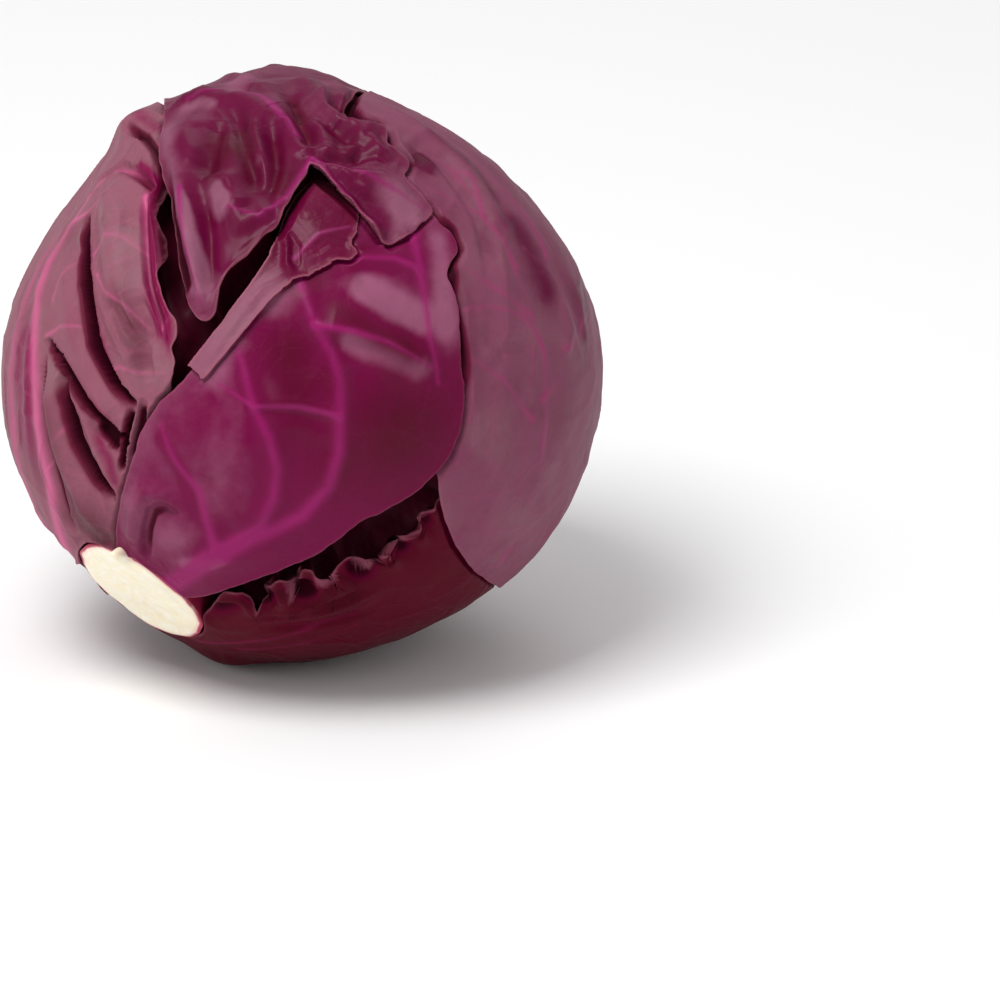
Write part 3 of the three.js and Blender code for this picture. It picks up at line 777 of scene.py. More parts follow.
            *swells((296, 392, 7, 0.6), (132, 514, 7, 0.55)),
            ridge([(270, 292), (330, 256), (380, 246)], 2.0, 0.5),
            swell(330, 380, 4, 0.4),
        ],
        shadow=[ridge([(151, 548), (153, 528), (158, 512), (168, 509)], 0.9, 0.75)],
        bloom=0.3, columns=400, rings=130,
    ),
    Leaf(
        "left_leaf",
        middle=(80, 330),
        outline=[
            (168, 113), (164, 145), (166, 172), (159, 188), (155, 203), (156, 219), (162, 238), (163, 256),
            (161, 272), (163, 289), (171, 309), (180, 323), (181, 336), (175, 350), (179, 364), (176, 378),
            (166, 408), (159, 430), (147, 472), (134, 510), (126, 545), (108, 556), (92, 560), (80, 572),
            *hidden(
                (230, 96), (224, 114), (205, 132), (182, 138), (162, 132), (146, 118), (128, 110),
                (114, 101),
            ),
            (178, 104),
        ],
        depth=1.6, rise=0, curl=0.9, curl_reach=1.0, uneven=0.5, uneven_scale=1.7, creased=0.35,
        crease_scale=3.4, ragged=0.12,
        bed_forms=swells((120, 300, 26, -8.6), (95, 440, 26, -8.6)),
        relief=[
            ridge([(114, 178), (120, 236), (124, 290), (142, 372)], 5.4, 4.2),
            *swells((118, 226, 6, 0.8), (136, 372, 5, 1.0), (76, 330, 5, 0.9), (64, 236, 6, -0.8)),
            slot([(84, 216), (87, 240), (92, 290), (103, 350), (122, 386), (136, 404)], 1.4, 8.5, left=1.0),
            ridge([(82, 222), (84, 290), (96, 350), (126, 402)], 1.2, 0.9),
            ridge([(70, 250), (76, 320), (100, 390), (126, 430)], 5, 1.8),
            slot([(50, 342), (66, 362), (84, 389), (100, 412), (116, 428), (130, 440)], 1.4, 7.5, left=0.9),
            slot([(68, 381), (76, 404), (84, 440), (100, 468), (114, 494)], 1.9, 8, left=1.1),
            slot([(100, 424), (114, 440), (120, 450)], 2.0, 4.0),
            ridge([(72, 384), (86, 410), (100, 450), (118, 486)], 1.6, 1.6),
            ridge([(58, 372), (66, 440), (86, 490), (100, 528)], 4.4, 3.6),
            ridge([(46, 350), (47, 400), (51, 440), (60, 482), (74, 530)], 1.7, -1.8),
            ridge([(130, 402), (128, 436), (124, 470)], 2.0, 1.4),
            slot([(135, 412), (129, 440), (124, 470)], 0.9, 5),
            slot([(146, 404), (142, 430), (134, 462)], 1.2, 3),
            *swells((136, 120, 7, 4.2), (160, 110, 3.4, -2.6)),
            ridge([(118, 118), (134, 140), (158, 168)], 3.0, 1.6),
            slot([(92, 168), (116, 160), (140, 176), (156, 190)], 1.4, 2.4),
            slot([(128, 128), (142, 134), (156, 150), (164, 176)], 1.3, 3.2),
            slot([(147, 192), (148, 240), (152, 285), (164, 320), (169, 350)], 1.2, 1.6, left=0.8),
            slot([(140, 300), (151, 325), (158, 348)], 2.0, 1.6),
            ridge([(100, 288), (118, 330), (146, 372)], 1.8, 1.0),
            ridge([(110, 300), (134, 306), (150, 330)], 2.4, 0.9),
            slot([(122, 300), (134, 330), (148, 352), (152, 384)], 2.0, 1.7),
            slot([(98, 236), (126, 226), (146, 232)], 1.5, 0.4),
            slot([(56, 262), (70, 250), (82, 258)], 2.6, 0.8),
            ridge([(60, 205), (36, 300), (30, 400), (60, 540)], 2.2, 0.9),
            ridge([(40, 235), (16, 330), (14, 430), (50, 550)], 2.2, 0.8),
            slot([(46, 352), (46, 403), (52, 446), (62, 488), (76, 532)], 1.0, 1.4, left=0.8),
            slot([(74, 545), (90, 538), (120, 538)], 2.2, 1.0),
        ],
        veins=[
            vein([
                (66, 546), (52, 486), (42, 436), (38, 384), (36, 330), (38, 288), (46, 254), (60, 220),
                (88, 176),
            ], 2.4, 0.3),
            vein([(48, 540), (26, 480), (15, 420), (14, 350), (26, 280), (50, 220)], 2.2, 0.2, 0.6),
            vein([(78, 420), (50, 470), (62, 520)], 0.5, 0.1),
            vein([(96, 256), (112, 242), (130, 242), (152, 258)], 0.6, 0.2, 0.5),
            vein([(100, 276), (112, 294), (134, 308), (152, 330)], 0.6, 0.2, 0.5),
            vein([(54, 300), (60, 282), (74, 268), (92, 256)], 0.6, 0.15, 0.5),
            vein([(48, 336), (64, 328), (84, 328), (98, 330)], 0.6, 0.15, 0.5),
            vein([(110, 372), (126, 368), (146, 374), (168, 374)], 0.6, 0.15, 0.45),
            vein([(92, 172), (106, 164), (132, 168), (150, 182)], 1.2, 0.25),
            vein([(66, 214), (84, 208), (96, 196)], 0.9, 0.2),
            vein([(146, 196), (147, 240), (152, 285), (164, 330)], 0.8, 0.0),
        ],
        rubbed=[
            ridge([(149, 190), (151, 240), (155, 285), (166, 322), (172, 350)], 2.2, 1.1),
            ridge([(134, 164), (150, 176), (159, 190)], 2.0, 0.9),
            ridge([(27, 324), (25, 375), (30, 430), (38, 470)], 4.6, 1.5),
            ridge([(6, 350), (6, 400), (16, 450)], 3.0, 0.5),
            ridge([(86, 216), (90, 260), (94, 300), (108, 360), (130, 400)], 1.6, 0.6),
            ridge([(52, 342), (70, 368), (90, 398), (125, 434)], 1.6, 0.6),
            swell(28, 370, 7, 0.4),
            ridge([(24, 340), (20, 400), (28, 460)], 2.6, 0.6),
            ridge([(128, 116), (150, 120), (164, 130)], 2.6, 0.5),
            ridge([(98, 430), (112, 460), (122, 490)], 1.6, 0.4),
            *swells((40, 480, 8, 0.15), (118, 215, 8, -0.3), (120, 260, 7, -0.3)),
            ridge([(92, 174), (112, 166), (150, 184)], 2.0, 0.3),
        ],
        shadow=[
            ridge([(82, 214), (85, 240), (88, 290), (99, 350), (118, 388), (132, 406)], 1.5, 0.75),
            ridge([(50, 344), (64, 364), (81, 391), (97, 415), (114, 432), (127, 442)], 1.4, 0.75),
            ridge([(66, 384), (72, 406), (80, 442), (108, 494)], 1.7, 0.75),
            ridge([(149, 198), (151, 240), (155, 285), (165, 322)], 0.8, 0.3),
            ridge([(130, 127), (143, 133), (156, 150), (165, 174)], 1.1, 0.95),
            ridge([(134, 412), (128, 440), (123, 470)], 0.7, 0.9),
            ridge([(46, 356), (47, 403), (53, 446), (64, 488), (76, 526)], 0.7, 0.45),
            ridge([(102, 426), (114, 440), (119, 448)], 1.6, 0.9),
        ],
        dark=[
            ridge([(56, 390), (62, 440), (90, 515)], 4.0, 0.45),
            ridge([(30, 450), (50, 500), (80, 530)], 3.0, 0.25),
            *swells((138, 330, 4, 0.25), (66, 232, 5, 0.3), (94, 526, 9, 0.9)),
            ridge([(50, 420), (62, 470), (82, 516), (104, 540)], 5.0, 0.6, ends=False),
            # Painted shade down the diagonal fold on the first finger.
            ridge([(122, 296), (140, 334), (150, 368)], 2.8, 0.55),
            swell(126, 296, 4, 0.3),
            ridge([(100, 214), (104, 260), (112, 300)], 1.6, 0.2),
            swell(112, 420, 5, 0.25),
        ],
        bloom=0.8, columns=640, rings=118,
    ),
    Leaf(
        "right_leaf",
        middle=(520, 290),
        outline=[
            (318, 96), (362, 138), (396, 186), (426, 238), (438, 290), (444, 361), (444, 430), (438, 480),
            (448, 528), (476, 572), (520, 604),
            *hidden((-42, 112), (-30, 128), (-8, 142), (18, 144), (42, 134), (60, 118), (72, 104), (84, 98)),
        ],
        depth=1.6, rise=0.8, uneven=1.0, uneven_scale=1.9, creased=0.35, crease_scale=2.2, ragged=0.1,
        bed_forms=[swell(360, 112, 9, -5)],
        relief=[
            slot([(358, 86), (350, 104), (360, 119), (380, 128)], 1.7, 5),
            ridge([(470, 560), (500, 430), (500, 300), (460, 160)], 4, 0.8),
            swell(560, 260, 20, 1),
            ridge([(386, 104), (430, 136), (480, 190), (510, 250)], 3.0, 1.2),
            slot([(396, 132), (440, 160), (480, 220), (490, 280)], 3.2, 1.0),
            ridge([(480, 260), (520, 300), (536, 350)], 3.4, 0.9),
            slot([(545, 260), (570, 300), (580, 345)], 3.0, 1.2),
            ridge([(556, 300), (566, 330), (560, 356)], 2.0, 0.9),
            slot([(480, 330), (500, 350), (530, 346)], 2.2, 0.7),
            ridge([(392, 142), (410, 160), (408, 182), (432, 206)], 1.4, 0.8),
        ],
        veins=[
            vein([(500, 560), (540, 440), (540, 350), (510, 270), (460, 180), (390, 118)], 1.0, 0.25),
            vein([(540, 400), (580, 330), (575, 270), (545, 215)], 0.8, 0.2),
            vein([(530, 320), (490, 290), (450, 262)], 0.7, 0.15),
            vein([(514, 270), (480, 215), (424, 190)], 0.7, 0.15),
            vein([(484, 220), (470, 182), (420, 148)], 0.6, 0.15),
            vein([(540, 350), (520, 318), (486, 308), (462, 312)], 0.7, 0.15),
            vein([(560, 350), (590, 320), (586, 290)], 0.8, 0.15),
            vein([(546, 262), (520, 210), (480, 168), (430, 130)], 0.7, 0.15),
            vein([(575, 320), (556, 280), (520, 250)], 0.6, 0.1),
            vein([(530, 420), (500, 380), (470, 360)], 0.7, 0.1),
        ],
        rubbed=[
            ridge([(414, 156), (424, 164), (420, 172)], 3.4, 1.2),
            *swells((440, 205, 8, 0.15), (580, 300, 6, 0.3)),
            ridge([(500, 210), (530, 260), (550, 310)], 5, 0.45),
            *swells((520, 340, 8, -0.25), (475, 285, 8, -0.3)),
            ridge([(440, 130), (490, 176), (530, 226), (560, 290), (556, 350)], 2.0, -0.45),
            ridge([(420, 128), (460, 160), (500, 206)], 2.4, 0.3),
            ridge([(575, 280), (584, 320), (580, 370)], 2.2, 0.4),
        ],
        shadow=[
            ridge([(357, 90), (350, 105), (359, 118), (378, 127), (392, 148)], 1.6, 1.0),
            ridge([
                (434, 214), (452, 230), (460, 250), (452, 266), (455, 300), (463, 340), (467, 390),
            ], 1.1, 0.9),
        ],
        # The second line is painted shade beside the front leaf's edge.
        dark=[
            ridge([(414, 156), (426, 166)], 3.4, 1.2),
            ridge([(452, 260), (468, 340), (476, 380)], 3, 0.3),
        ],
        bloom=0.72, columns=360, rings=120,
    ),
    Leaf(
        "ruffled_leaf",
        middle=(300, 733),
        outline=[
            (180, 636), (194, 624), (212, 611), (220, 599), (226, 595), (240, 597), (252, 603), (258, 613),
            (264, 603), (270, 594), (280, 583), (288, 588), (292, 603), (299, 590), (304, 571), (313, 573),
            (320, 590), (332, 586), (340, 570), (352, 561), (360, 574), (372, 573), (384, 556), (400, 549),
            (410, 542), (432, 512), (470, 490), (530, 530),
            *hidden((-40, 112), (-52, 132), (-72, 150), (-98, 156), (-122, 142), (-128, 118), (-124, 98)),
        ],
        depth=3, rise=-0.4, uneven=0.5, uneven_scale=1.7, creased=0.3, ragged=0.3,
        bed_forms=[ridge([(214, 604), (262, 600), (312, 590), (356, 576), (400, 550), (440, 510)], 8, -5)],
        relief=[
            ridge([(190, 616), (262, 598), (312, 592), (372, 560), (430, 520)], 4.0, -2.6),
            ruffle([(236, 604), (262, 604), (312, 594), (356, 580), (400, 552), (440, 512)], 4.2, 2.6, 5),
            ruffle([
                (236, 602), (262, 602), (312, 592), (356, 578), (400, 550), (440, 506),
            ], 2.2, 1.8, 9, 1.0),
            slot([(250, 618), (300, 616), (334, 605), (372, 588)], 1.2, 1.1),
            ridge([(262, 616), (330, 610), (390, 584)], 2.2, 1.2),
            slot([(268, 628), (320, 626), (370, 612)], 1.8, 1.0),
            ridge([(214, 602), (240, 606), (262, 618)], 1.8, 1.4),
        ],
        sway=[
            (
                ruffle([
                    (236, 604), (262, 602), (312, 592), (356, 578), (400, 550), (440, 510),
                ], 2.4, 3.2, 8, 0.6),
                (1, 0.3),
            ),
            (
                ruffle([
                    (236, 604), (262, 602), (312, 592), (356, 578), (400, 550), (440, 510),
                ], 2.6, 1.6, 5, 2.0),
                (0, 1),
            ),
        ],
        veins=[
            vein([(200, 642), (250, 642), (310, 630), (380, 600)], 0.9, 0.15),
            vein([(240, 650), (300, 645), (360, 625)], 0.7, 0.1),
        ],
        rubbed=[
            swell(300, 645, 18, 0.35),
            ridge([(214, 606), (262, 618), (330, 614)], 2.0, -0.4),
            *swells((236, 612, 6, -0.6), (372, 582, 4, -0.4)),
        ],
        # Painted shade under the front leaf's overhanging lower edge.
        dark=[
            swell(340, 600, 10, 0.5),
            ridge([(200, 610), (260, 600), (360, 560)], 2.6, 0.5),
            swell(200, 620, 5, 0.3),
        ],
        bloom=0.34, columns=460, rings=120,
    ),
    Leaf(
        "back_leaf",
        middle=behind(50, 150),
        outline=hidden(
            (88, 112), (70, 99), (54, 108), (34, 119), (4, 126), (-20, 136), (-52, 158), (-150, 162),
            (180, 142), (168, 124), (144, 108), (124, 98), (108, 108),
        ),
        depth=1.5, rise=-0.3, uneven=0.9, uneven_scale=1.8, creased=0.4, crease_scale=2.4,
        relief=[ridge(hidden((-150, 160), (140, 150), (90, 125)), 5, 1.2)],
        veins=[
            vein(hidden((-150, 160), (150, 158), (110, 140), (90, 120)), 1.5, 0.4),
            vein(hidden((150, 158), (60, 150), (40, 130)), 1.0, 0.25),
            vein(hidden((130, 146), (80, 150), (62, 130), (64, 116)), 0.9, 0.2),
            vein(hidden((170, 155), (168, 140), (160, 124)), 0.9, 0.2),
            vein(hidden((-150, 162), (-30, 160), (0, 144), (6, 130)), 1.0, 0.2),
        ],
        rubbed=swells(
            (*behind(90, 130), 14, 0.4), (*behind(160, 140), 12, 0.3), (*behind(20, 140), 12, 0.3),
        ),
        bloom=0.7, columns=260, rings=80,
    ),
    Leaf(
        "under_leaf",
        middle=behind(-140, 148),
        outline=[
            behind(-112, 100), (133, 608),
            *hidden(
                (-140, 98), (-150, 106), (-165, 112), (176, 126), (160, 152), (60, 165), (-20, 148),
                (-40, 122), (-58, 120), (-84, 138), (-104, 132),
            ),
        ],
        depth=1.5, rise=-0.5, uneven=0.8, uneven_scale=1.9, creased=0.3,
        relief=[ridge(hidden((-138, 104), (-142, 130), (-150, 155)), 5, 1)],
        veins=[
            vein(hidden((-136, 98), (-142, 130), (-150, 155)), 1.6, 0.4),
            vein(hidden((-140, 120), (-165, 130), (176, 136)), 1.0, 0.2),
            vein(hidden((-142, 134), (-100, 150), (-60, 150)), 1.0, 0.2),
        ],
        rubbed=[swell(*behind(-150, 140), 14, 0.3)],
        bloom=0.62, columns=260, rings=80,
    ),
]

# What each kind of leaf looks like: its colours, and what differs from the plain leaf. Edge sets how strong
# the painted highlight along its margin is.
LOOKS = {
    "crown_leaf": dict(
        rubbed=(0.115, 0.0003, 0.032), bloom=(0.25, 0.08, 0.136), dark=(0.075, 0.0001, 0.013),
        vein=(0.26, 0.008, 0.11), net=0.08, gloss=0.46, edge=0.75,
    ),
    "torn_leaf": dict(
        rubbed=(0.12, 0.0006, 0.03), bloom=(0.255, 0.085, 0.135), dark=(0.075, 0.0004, 0.015),
        vein=(0.28, 0.03, 0.13), net=0.08, edge=0.8,
    ),
    "front_leaf": dict(
        rubbed=(0.15, 0.0002, 0.044), bloom=(0.285, 0.082, 0.155), dark=(0.078, 0.0001, 0.011),
        vein=(0.28, 0.01, 0.115), net=0.06, shine=0.8, edge=0.35, grey=0.12,
    ),
    "left_leaf": dict(
        rubbed=(0.18, 0.002, 0.05), bloom=(0.25, 0.08, 0.118), dark=(0.09, 0.016, 0.028),
        vein=(0.58, 0.105, 0.255), net=0.1, edge=0.5, grey=0.5,
    ),
    "right_leaf": dict(
        rubbed=(0.11, 0.001, 0.032), bloom=(0.215, 0.058, 0.104), dark=(0.08, 0.001, 0.02),
        vein=(0.3, 0.04, 0.13), net=0.2, net_scale=22.0, edge=0.4, grey=0.3,
    ),
    # The ruffled leaf's colours are darker copies of a leaf's colours: painted shade for the head's shaded
    # underside.
    "ruffled_leaf": dict(
        rubbed=(0.082, 0.0003, 0.01), bloom=(0.095, 0.006, 0.017), dark=(0.034, 0.0001, 0.004),
        vein=(0.17, 0.004, 0.045), net=0.08, shine=0.3, edge=0.6, grey=0.12,
    ),
    "back_leaf": dict(
        rubbed=(0.105, 0.002, 0.03), bloom=(0.175, 0.048, 0.076), dark=(0.07, 0.001, 0.016),
        vein=(0.3, 0.045, 0.13), net=0.2, edge=0.5,
    ),
    "under_leaf": dict(
        rubbed=(0.095, 0.001, 0.024), bloom=(0.15, 0.036, 0.06), dark=(0.06, 0.0006, 0.012),
        vein=(0.27, 0.035, 0.11), net=0.18, edge=0.5,
    ),
    "inner_leaf": dict(
        rubbed=(0.13, 0.0006, 0.02), bloom=(0.15, 0.008, 0.032), dark=(0.05, 0.0002, 0.006),
        vein=(0.2, 0.004, 0.05), net=0.2, gloss=0.5,
    ),
}


def ring_quads(columns, rings, first):
    """Quads between the rings of a grid whose points are numbered from first."""
    column = np.arange(columns)
    after = (column + 1) % columns
    here = np.arange(rings - 1)[:, None] * columns + first
    corners = [here + column, here + column + columns, here + after + columns, here + after]
    return np.stack(corners, axis=-1).reshape(-1, 4)


def fan(middle, ring):
    """Triangles from a middle point to a ring's point numbers."""
    return np.column_stack([np.full(len(ring), middle), ring, np.roll(ring, -1)])


def turned(faces):
    """The same faces from their other side, from the same first corner."""
    return faces[:, [0, *range(faces.shape[1] - 1, 0, -1)]]


def shell_faces(columns, outer_rings, inner_rings):
    """Faces of a closed shell from two discs with like columns: the outer disc first,
    the inner one reversed, and quads that join their rims."""
    column = np.arange(columns)
    count = 1 + columns * outer_rings
    rim = 1 + (outer_rings - 1) * columns + column
    inner_rim = 1 + (inner_rings - 1) * columns + column + count
    join = np.column_stack([rim, inner_rim, np.roll(inner_rim, -1), np.roll(rim, -1)])
    inner_quads = ring_quads(columns, inner_rings, 1)[:, ::-1] + count
    fans = np.vstack([fan(0, 1 + column), fan(0, 1 + column)[:, ::-1] + count])
    return np.vstack([ring_quads(columns, outer_rings, 1), inner_quads, join]), fans


def mesh_piece(name, points, quads, triangles, flat_map, facts):
    """A mesh object from points in mm about the head's centre, its faces, a flat map
    for its UVs and its named facts for the materials."""
    mesh = bpy.data.meshes.new(name)
    loops = np.concatenate([quads.ravel(), triangles.ravel()]).astype(np.int32)
    sizes = np.concatenate([np.full(len(quads), 4), np.full(len(triangles), 3)]).astype(np.int32)
    starts = np.concatenate([[0], np.cumsum(sizes)[:-1]]).astype(np.int32)
    mesh.vertices.add(len(points))
    mesh.vertices.foreach_set("co", ((points + HEAD_CENTRE) * METRES).astype(np.float32).ravel())
    mesh.loops.add(len(loops))
    mesh.loops.foreach_set("vertex_index", loops)
    mesh.polygons.add(len(sizes))
    mesh.polygons.foreach_set("loop_start", starts)
    mesh.polygons.foreach_set("use_smooth", np.ones(len(sizes), bool))
    uv = mesh.uv_layers.new(name="leaf_map")
    uv.data.foreach_set("uv", (flat_map[loops] / MAP_SPAN + 0.5).astype(np.float32).ravel())
    for key, values in facts.items():
        mesh.attributes.new(key, "FLOAT", "POINT").data.foreach_set("value", values.astype(np.float32))
    mesh.update(calc_edges=True)
    mesh.validate()
    piece = bpy.data.objects.new(name, mesh)
    bpy.context.collection.objects.link(piece)
    return piece


def inner_face(height, columns, rings):
    """The rings kept for the inner face, as point numbers, and the lowest height of
    the outer face between each one's neighbours, so that it stays under it."""
    coarse = np.linspace(0, rings - INNER_RIM_RINGS, INNER_RINGS).astype(int)
    kept = np.unique(np.concatenate([coarse, np.arange(rings - INNER_RIM_RINGS, rings)]))
    before = np.concatenate([[0], kept[:-1]])
    after = np.concatenate([kept[1:], [rings - 1]])
    grid = height[1:].reshape(rings, columns)
    lowest = [grid[low:high + 1].min(axis=0) for low, high in zip(before, after)]
    lowest[-1] = grid[-1]
    numbers = 1 + kept[:, None] * columns + np.arange(columns)
    return np.concatenate([[0], numbers.ravel()]), np.concatenate([[grid[: kept[1] + 1].min()], *lowest])


def leaf_facts(leaf, points, inside, level):
    """What a leaf's material needs to know at each point: how much vein and wax there
    is, how near the margin is, for its painted edge highlight, how much painted shade it
    takes from its depth under the head's form and from its shadow lines, and how dark
    it is, mostly as painted shade."""
    veins = sum((form(points) for form, _ in leaf.veins), np.zeros(len(points)))
    cloud = BLOOM_SHARE * crumple(points, BLOOM_SCALE, leaf.depth + 2)
    depth = smooth_step(PAINTED_SHADE_START, PAINTED_SHADE_FULL, -level)
    return {
        "vein": np.clip(veins, 0, 1),
        "bloom": np.clip(leaf.bloom + cloud - total(leaf.rubbed, points), 0, 1),
        "margin": np.exp(-((inside / MARGIN_REACH) ** 2)),
        "painted_shade": np.clip(depth + total(leaf.shadow, points), 0, 1),
        "dark": np.clip(total(leaf.dark, points), 0, 1),
    }


def leaf_grid(leaf):
    """A leaf's points in its flat map and as directions: rings from the middle to the
    rim, close together near it, then moved by the leaf's sway."""
    share = np.linspace(0, 1, leaf.rings + 1)[1:]
    share = 1 - (1 - share) ** RING_CROWDING
    rim = leaf.rim[(np.arange(leaf.columns) * len(leaf.rim) / leaf.columns).astype(int)]
    flat = np.vstack([[[0.0, 0.0]], (share[:, None, None] * rim).reshape(-1, 2)])
    points = leaf.from_map(flat)
    for form, step in leaf.sway:
        points = points + form(points)[:, None] * (np.array(step) @ [RIGHT, UP]) / HEAD_RADIUS
        points /= np.linalg.norm(points, axis=1)[:, None]
    return flat, points


def build_leaf(leaf, place):
    """A leaf's closed shell. Each point is its direction times the height there. The
    inner face is the outer one, a thickness lower, drawn in at the rim so that the
    edge is round."""
    flat, points = leaf_grid(leaf)
    head, outsides, beds, ceilings = stack(LEAVES[: place + 1], points)
    outside = outsides[leaf.name]
    height = leaf_height(leaf, points, head, outside, beds[leaf.name], ceilings[leaf.name])
    inside = np.maximum(0, -outside)
    inside[-leaf.columns:] = 0
    edge = np.clip(1 - inside / LEAF_THICKNESS, 0, 1)
    round_off = LEAF_THICKNESS * EDGE_ROUNDING * (1 - np.sqrt(1 - edge**2 + 1e-9))
    outer = points * (height - round_off)[:, None]
    kept, lowest = inner_face(height, leaf.columns, leaf.rings)
    inner = points[kept] * (lowest - LEAF_THICKNESS + round_off[kept])[:, None]
    facts = leaf_facts(leaf, points, inside, height - head)
    both = {key: np.concatenate([values, values[kept]]) for key, values in facts.items()}
    quads, caps = shell_faces(leaf.columns, leaf.rings, (len(kept) - 1) // leaf.columns)
    return mesh_piece(leaf.name, np.vstack([outer, inner]), quads, caps, np.vstack([flat, flat[kept]]), both)


def ball_grid(columns, rows):
    """Directions of a ball in rows from pole to pole, with one point at each pole, and
    its faces pointing out."""
    turn = np.linspace(0, 2 * math.pi, columns, endpoint=False)
    fall = np.linspace(0, math.pi, rows + 1)[1:-1, None]
    ring = [np.sin(fall) * np.cos(turn), np.sin(fall) * np.sin(turn), np.cos(fall) + 0 * turn]
    points = np.vstack([[[0, 0, 1]], np.stack(ring, axis=-1).reshape(-1, 3), [[0, 0, -1]]])
    column = np.arange(columns)
    last = 1 + (rows - 2) * columns
    poles = [fan(0, 1 + column), turned(fan(len(points) - 1, last + column))]
    return points, ring_quads(columns, rows - 1, 1), np.vstack(poles)


def build_heart():
    """The dense inner head: close under the leaves, deep and crumpled in their gaps."""
    points, quads, caps = ball_grid(HEART_COLUMNS, HEART_ROWS)
    head, outsides, beds, _ = stack(LEAVES, points)
    radius = np.full(len(points), np.inf)
    cover = np.zeros(len(points))
    for leaf in LEAVES:
        outside = outsides[leaf.name]
        beside = np.maximum(0, outside - STEP_CLEARANCE)
        radius = np.minimum(radius, beds[leaf.name] - HEART_GAP + beside * STEP_SLOPE)
        cover = np.maximum(cover, -outside)
    bare = 1 - smooth_step(0, HEART_COVER, cover)
    folds = crumple(points, HEART_FOLD_SCALE, 1.0)
    radius = np.minimum(radius, head - (HEART_DEPTH - HEART_FOLDS * folds) * bare - HEART_SINK)
    stump_angle = np.arccos(np.clip(points @ STUMP_AXIS, -1, 1))
    beside_stump = np.maximum(0, (stump_angle - STUMP_ANGLE - HEART_STEM_ANGLE) * HEAD_RADIUS)
    radius = np.minimum(radius, STUMP_FOOT - 1 + HEART_STEM_SLOPE * beside_stump)
    flat_map = np.column_stack([points[:, 0], points[:, 2]]) * HEAD_RADIUS
    # Painted shade that grows the deeper the heart lies under the head's form.
    facts = {
        "vein": smooth_step(0.25, 0.7, folds),
        "bloom": np.full(len(points), 0.3),
        "margin": np.zeros(len(points)),
        "painted_shade": 0.75 * smooth_step(2.0, 12.0, head - radius),
        "dark": np.full(len(points), 0.5),
    }
    return mesh_piece("heart", points * radius[:, None], quads, caps, flat_map, facts)


def stump_profile():
    """The stump's outline before it is turned: radius and level from the foot up the
    side and over the dished face to the middle, as two columns."""
    foot = (STUMP_FOOT * math.tan(STUMP_ANGLE), STUMP_FOOT)
    side = [foot, *((STUMP_RADIUS * share, STUMP_FACE + rise) for share, rise in STUMP_SIDE)]
    share = np.concatenate([STUMP_SHOULDER, np.linspace(0.93, 0.03, STUMP_FACE_RINGS)])
    face = STUMP_FACE + 0.5 * smooth_step(1.0, 0.9, share) - STUMP_DISH * (1 - share) ** 1.2
    radius = np.concatenate([[r for r, _ in side], share * STUMP_RADIUS])
    level = np.concatenate([[z for _, z in side], face])
    return radius[:, None], level[:, None]


def build_stump():
    """The cut stem: a profile turned about its axis. Its rim is ragged, its cut face
    is dished and carries slow waves, and its side runs down inside the leaves."""
    radius, level = stump_profile()
    turn = np.linspace(0, 2 * math.pi, STUMP_COLUMNS, endpoint=False)
    rim_share = smooth_step(0.6, 1.0, radius / STUMP_RADIUS)
    nub = np.exp(-((np.angle(np.exp(1j * (turn - NUB_BEARING))) / NUB_WIDTH) ** 2)) * rim_share
    ragged = STUMP_RAGGED * rim_share * (1 + waves(turn, STUMP_NOTCHES))
    spread = radius * (1 - ragged + NUB_SPREAD * nub)
    ripple = 0.22 * np.sin(3 * turn + radius * 0.35) + 0.12 * np.sin(7 * turn - radius * 0.8)
    height = level + ripple * smooth_step(0, 6, radius) * (level > STUMP_FACE - 2)
    height = height + NUB_HEIGHT * nub * (level > STUMP_FACE - 5)
    east = np.cross([0, 0, 1], STUMP_AXIS)
    east /= np.linalg.norm(east)
    north = np.cross(STUMP_AXIS, east)
    flat = np.stack([spread * np.cos(turn), spread * np.sin(turn)], axis=-1)
    points = flat[..., :1] * east + flat[..., 1:] * north + height[..., None] * STUMP_AXIS
    ends = [STUMP_AXIS * STUMP_FOOT, STUMP_AXIS * level[-1, 0]]
    points = np.vstack([points.reshape(-1, 3), ends])
    flat = np.vstack([flat.reshape(-1, 2), [[0, 0]], [[0, 0]]])
    rings = len(radius)
    column = np.arange(STUMP_COLUMNS)
    base = rings * STUMP_COLUMNS
    caps = [turned(fan(base, column)), fan(base + 1, base - STUMP_COLUMNS + column)]
    quads = turned(ring_quads(STUMP_COLUMNS, rings, 0))
    rim = smooth_step(0.8, 1.0, radius / STUMP_RADIUS) * (1 - 0.9 * nub)
    below = (level < STUMP_FACE - 0.8) * (1 - nub)
    facts = {"rim": np.append(rim.ravel(), [0, 0]), "below": np.append(below.ravel(), [1, 0])}
    return mesh_piece("stump", points, quads, np.vstack(caps), flat, facts)


class Value:
    """A number or a socket of the material being made, with Python's arithmetic."""

    def __init__(self, maker, socket):
        self.maker = maker
        self.socket = socket

    def _math(self, operation, *values):
        node = self.maker.node("ShaderNodeMath", {"operation": operation}, dict(enumerate(values)))
        return Value(self.maker, node.outputs[0])

    def __add__(self, other):
        return self._math("ADD", self, other)

    def __sub__(self, other):
        return self._math("SUBTRACT", self, other)

    def __rsub__(self, other):
        return self._math("SUBTRACT", other, self)

    def __mul__(self, other):
        return self._math("MULTIPLY", self, other)

    __radd__ = __add__
    __rmul__ = __mul__

    def clamped(self):
        """The value held between 0 and 1."""
        return self._math("MINIMUM", self._math("MAXIMUM", self, 0.0), 1.0)


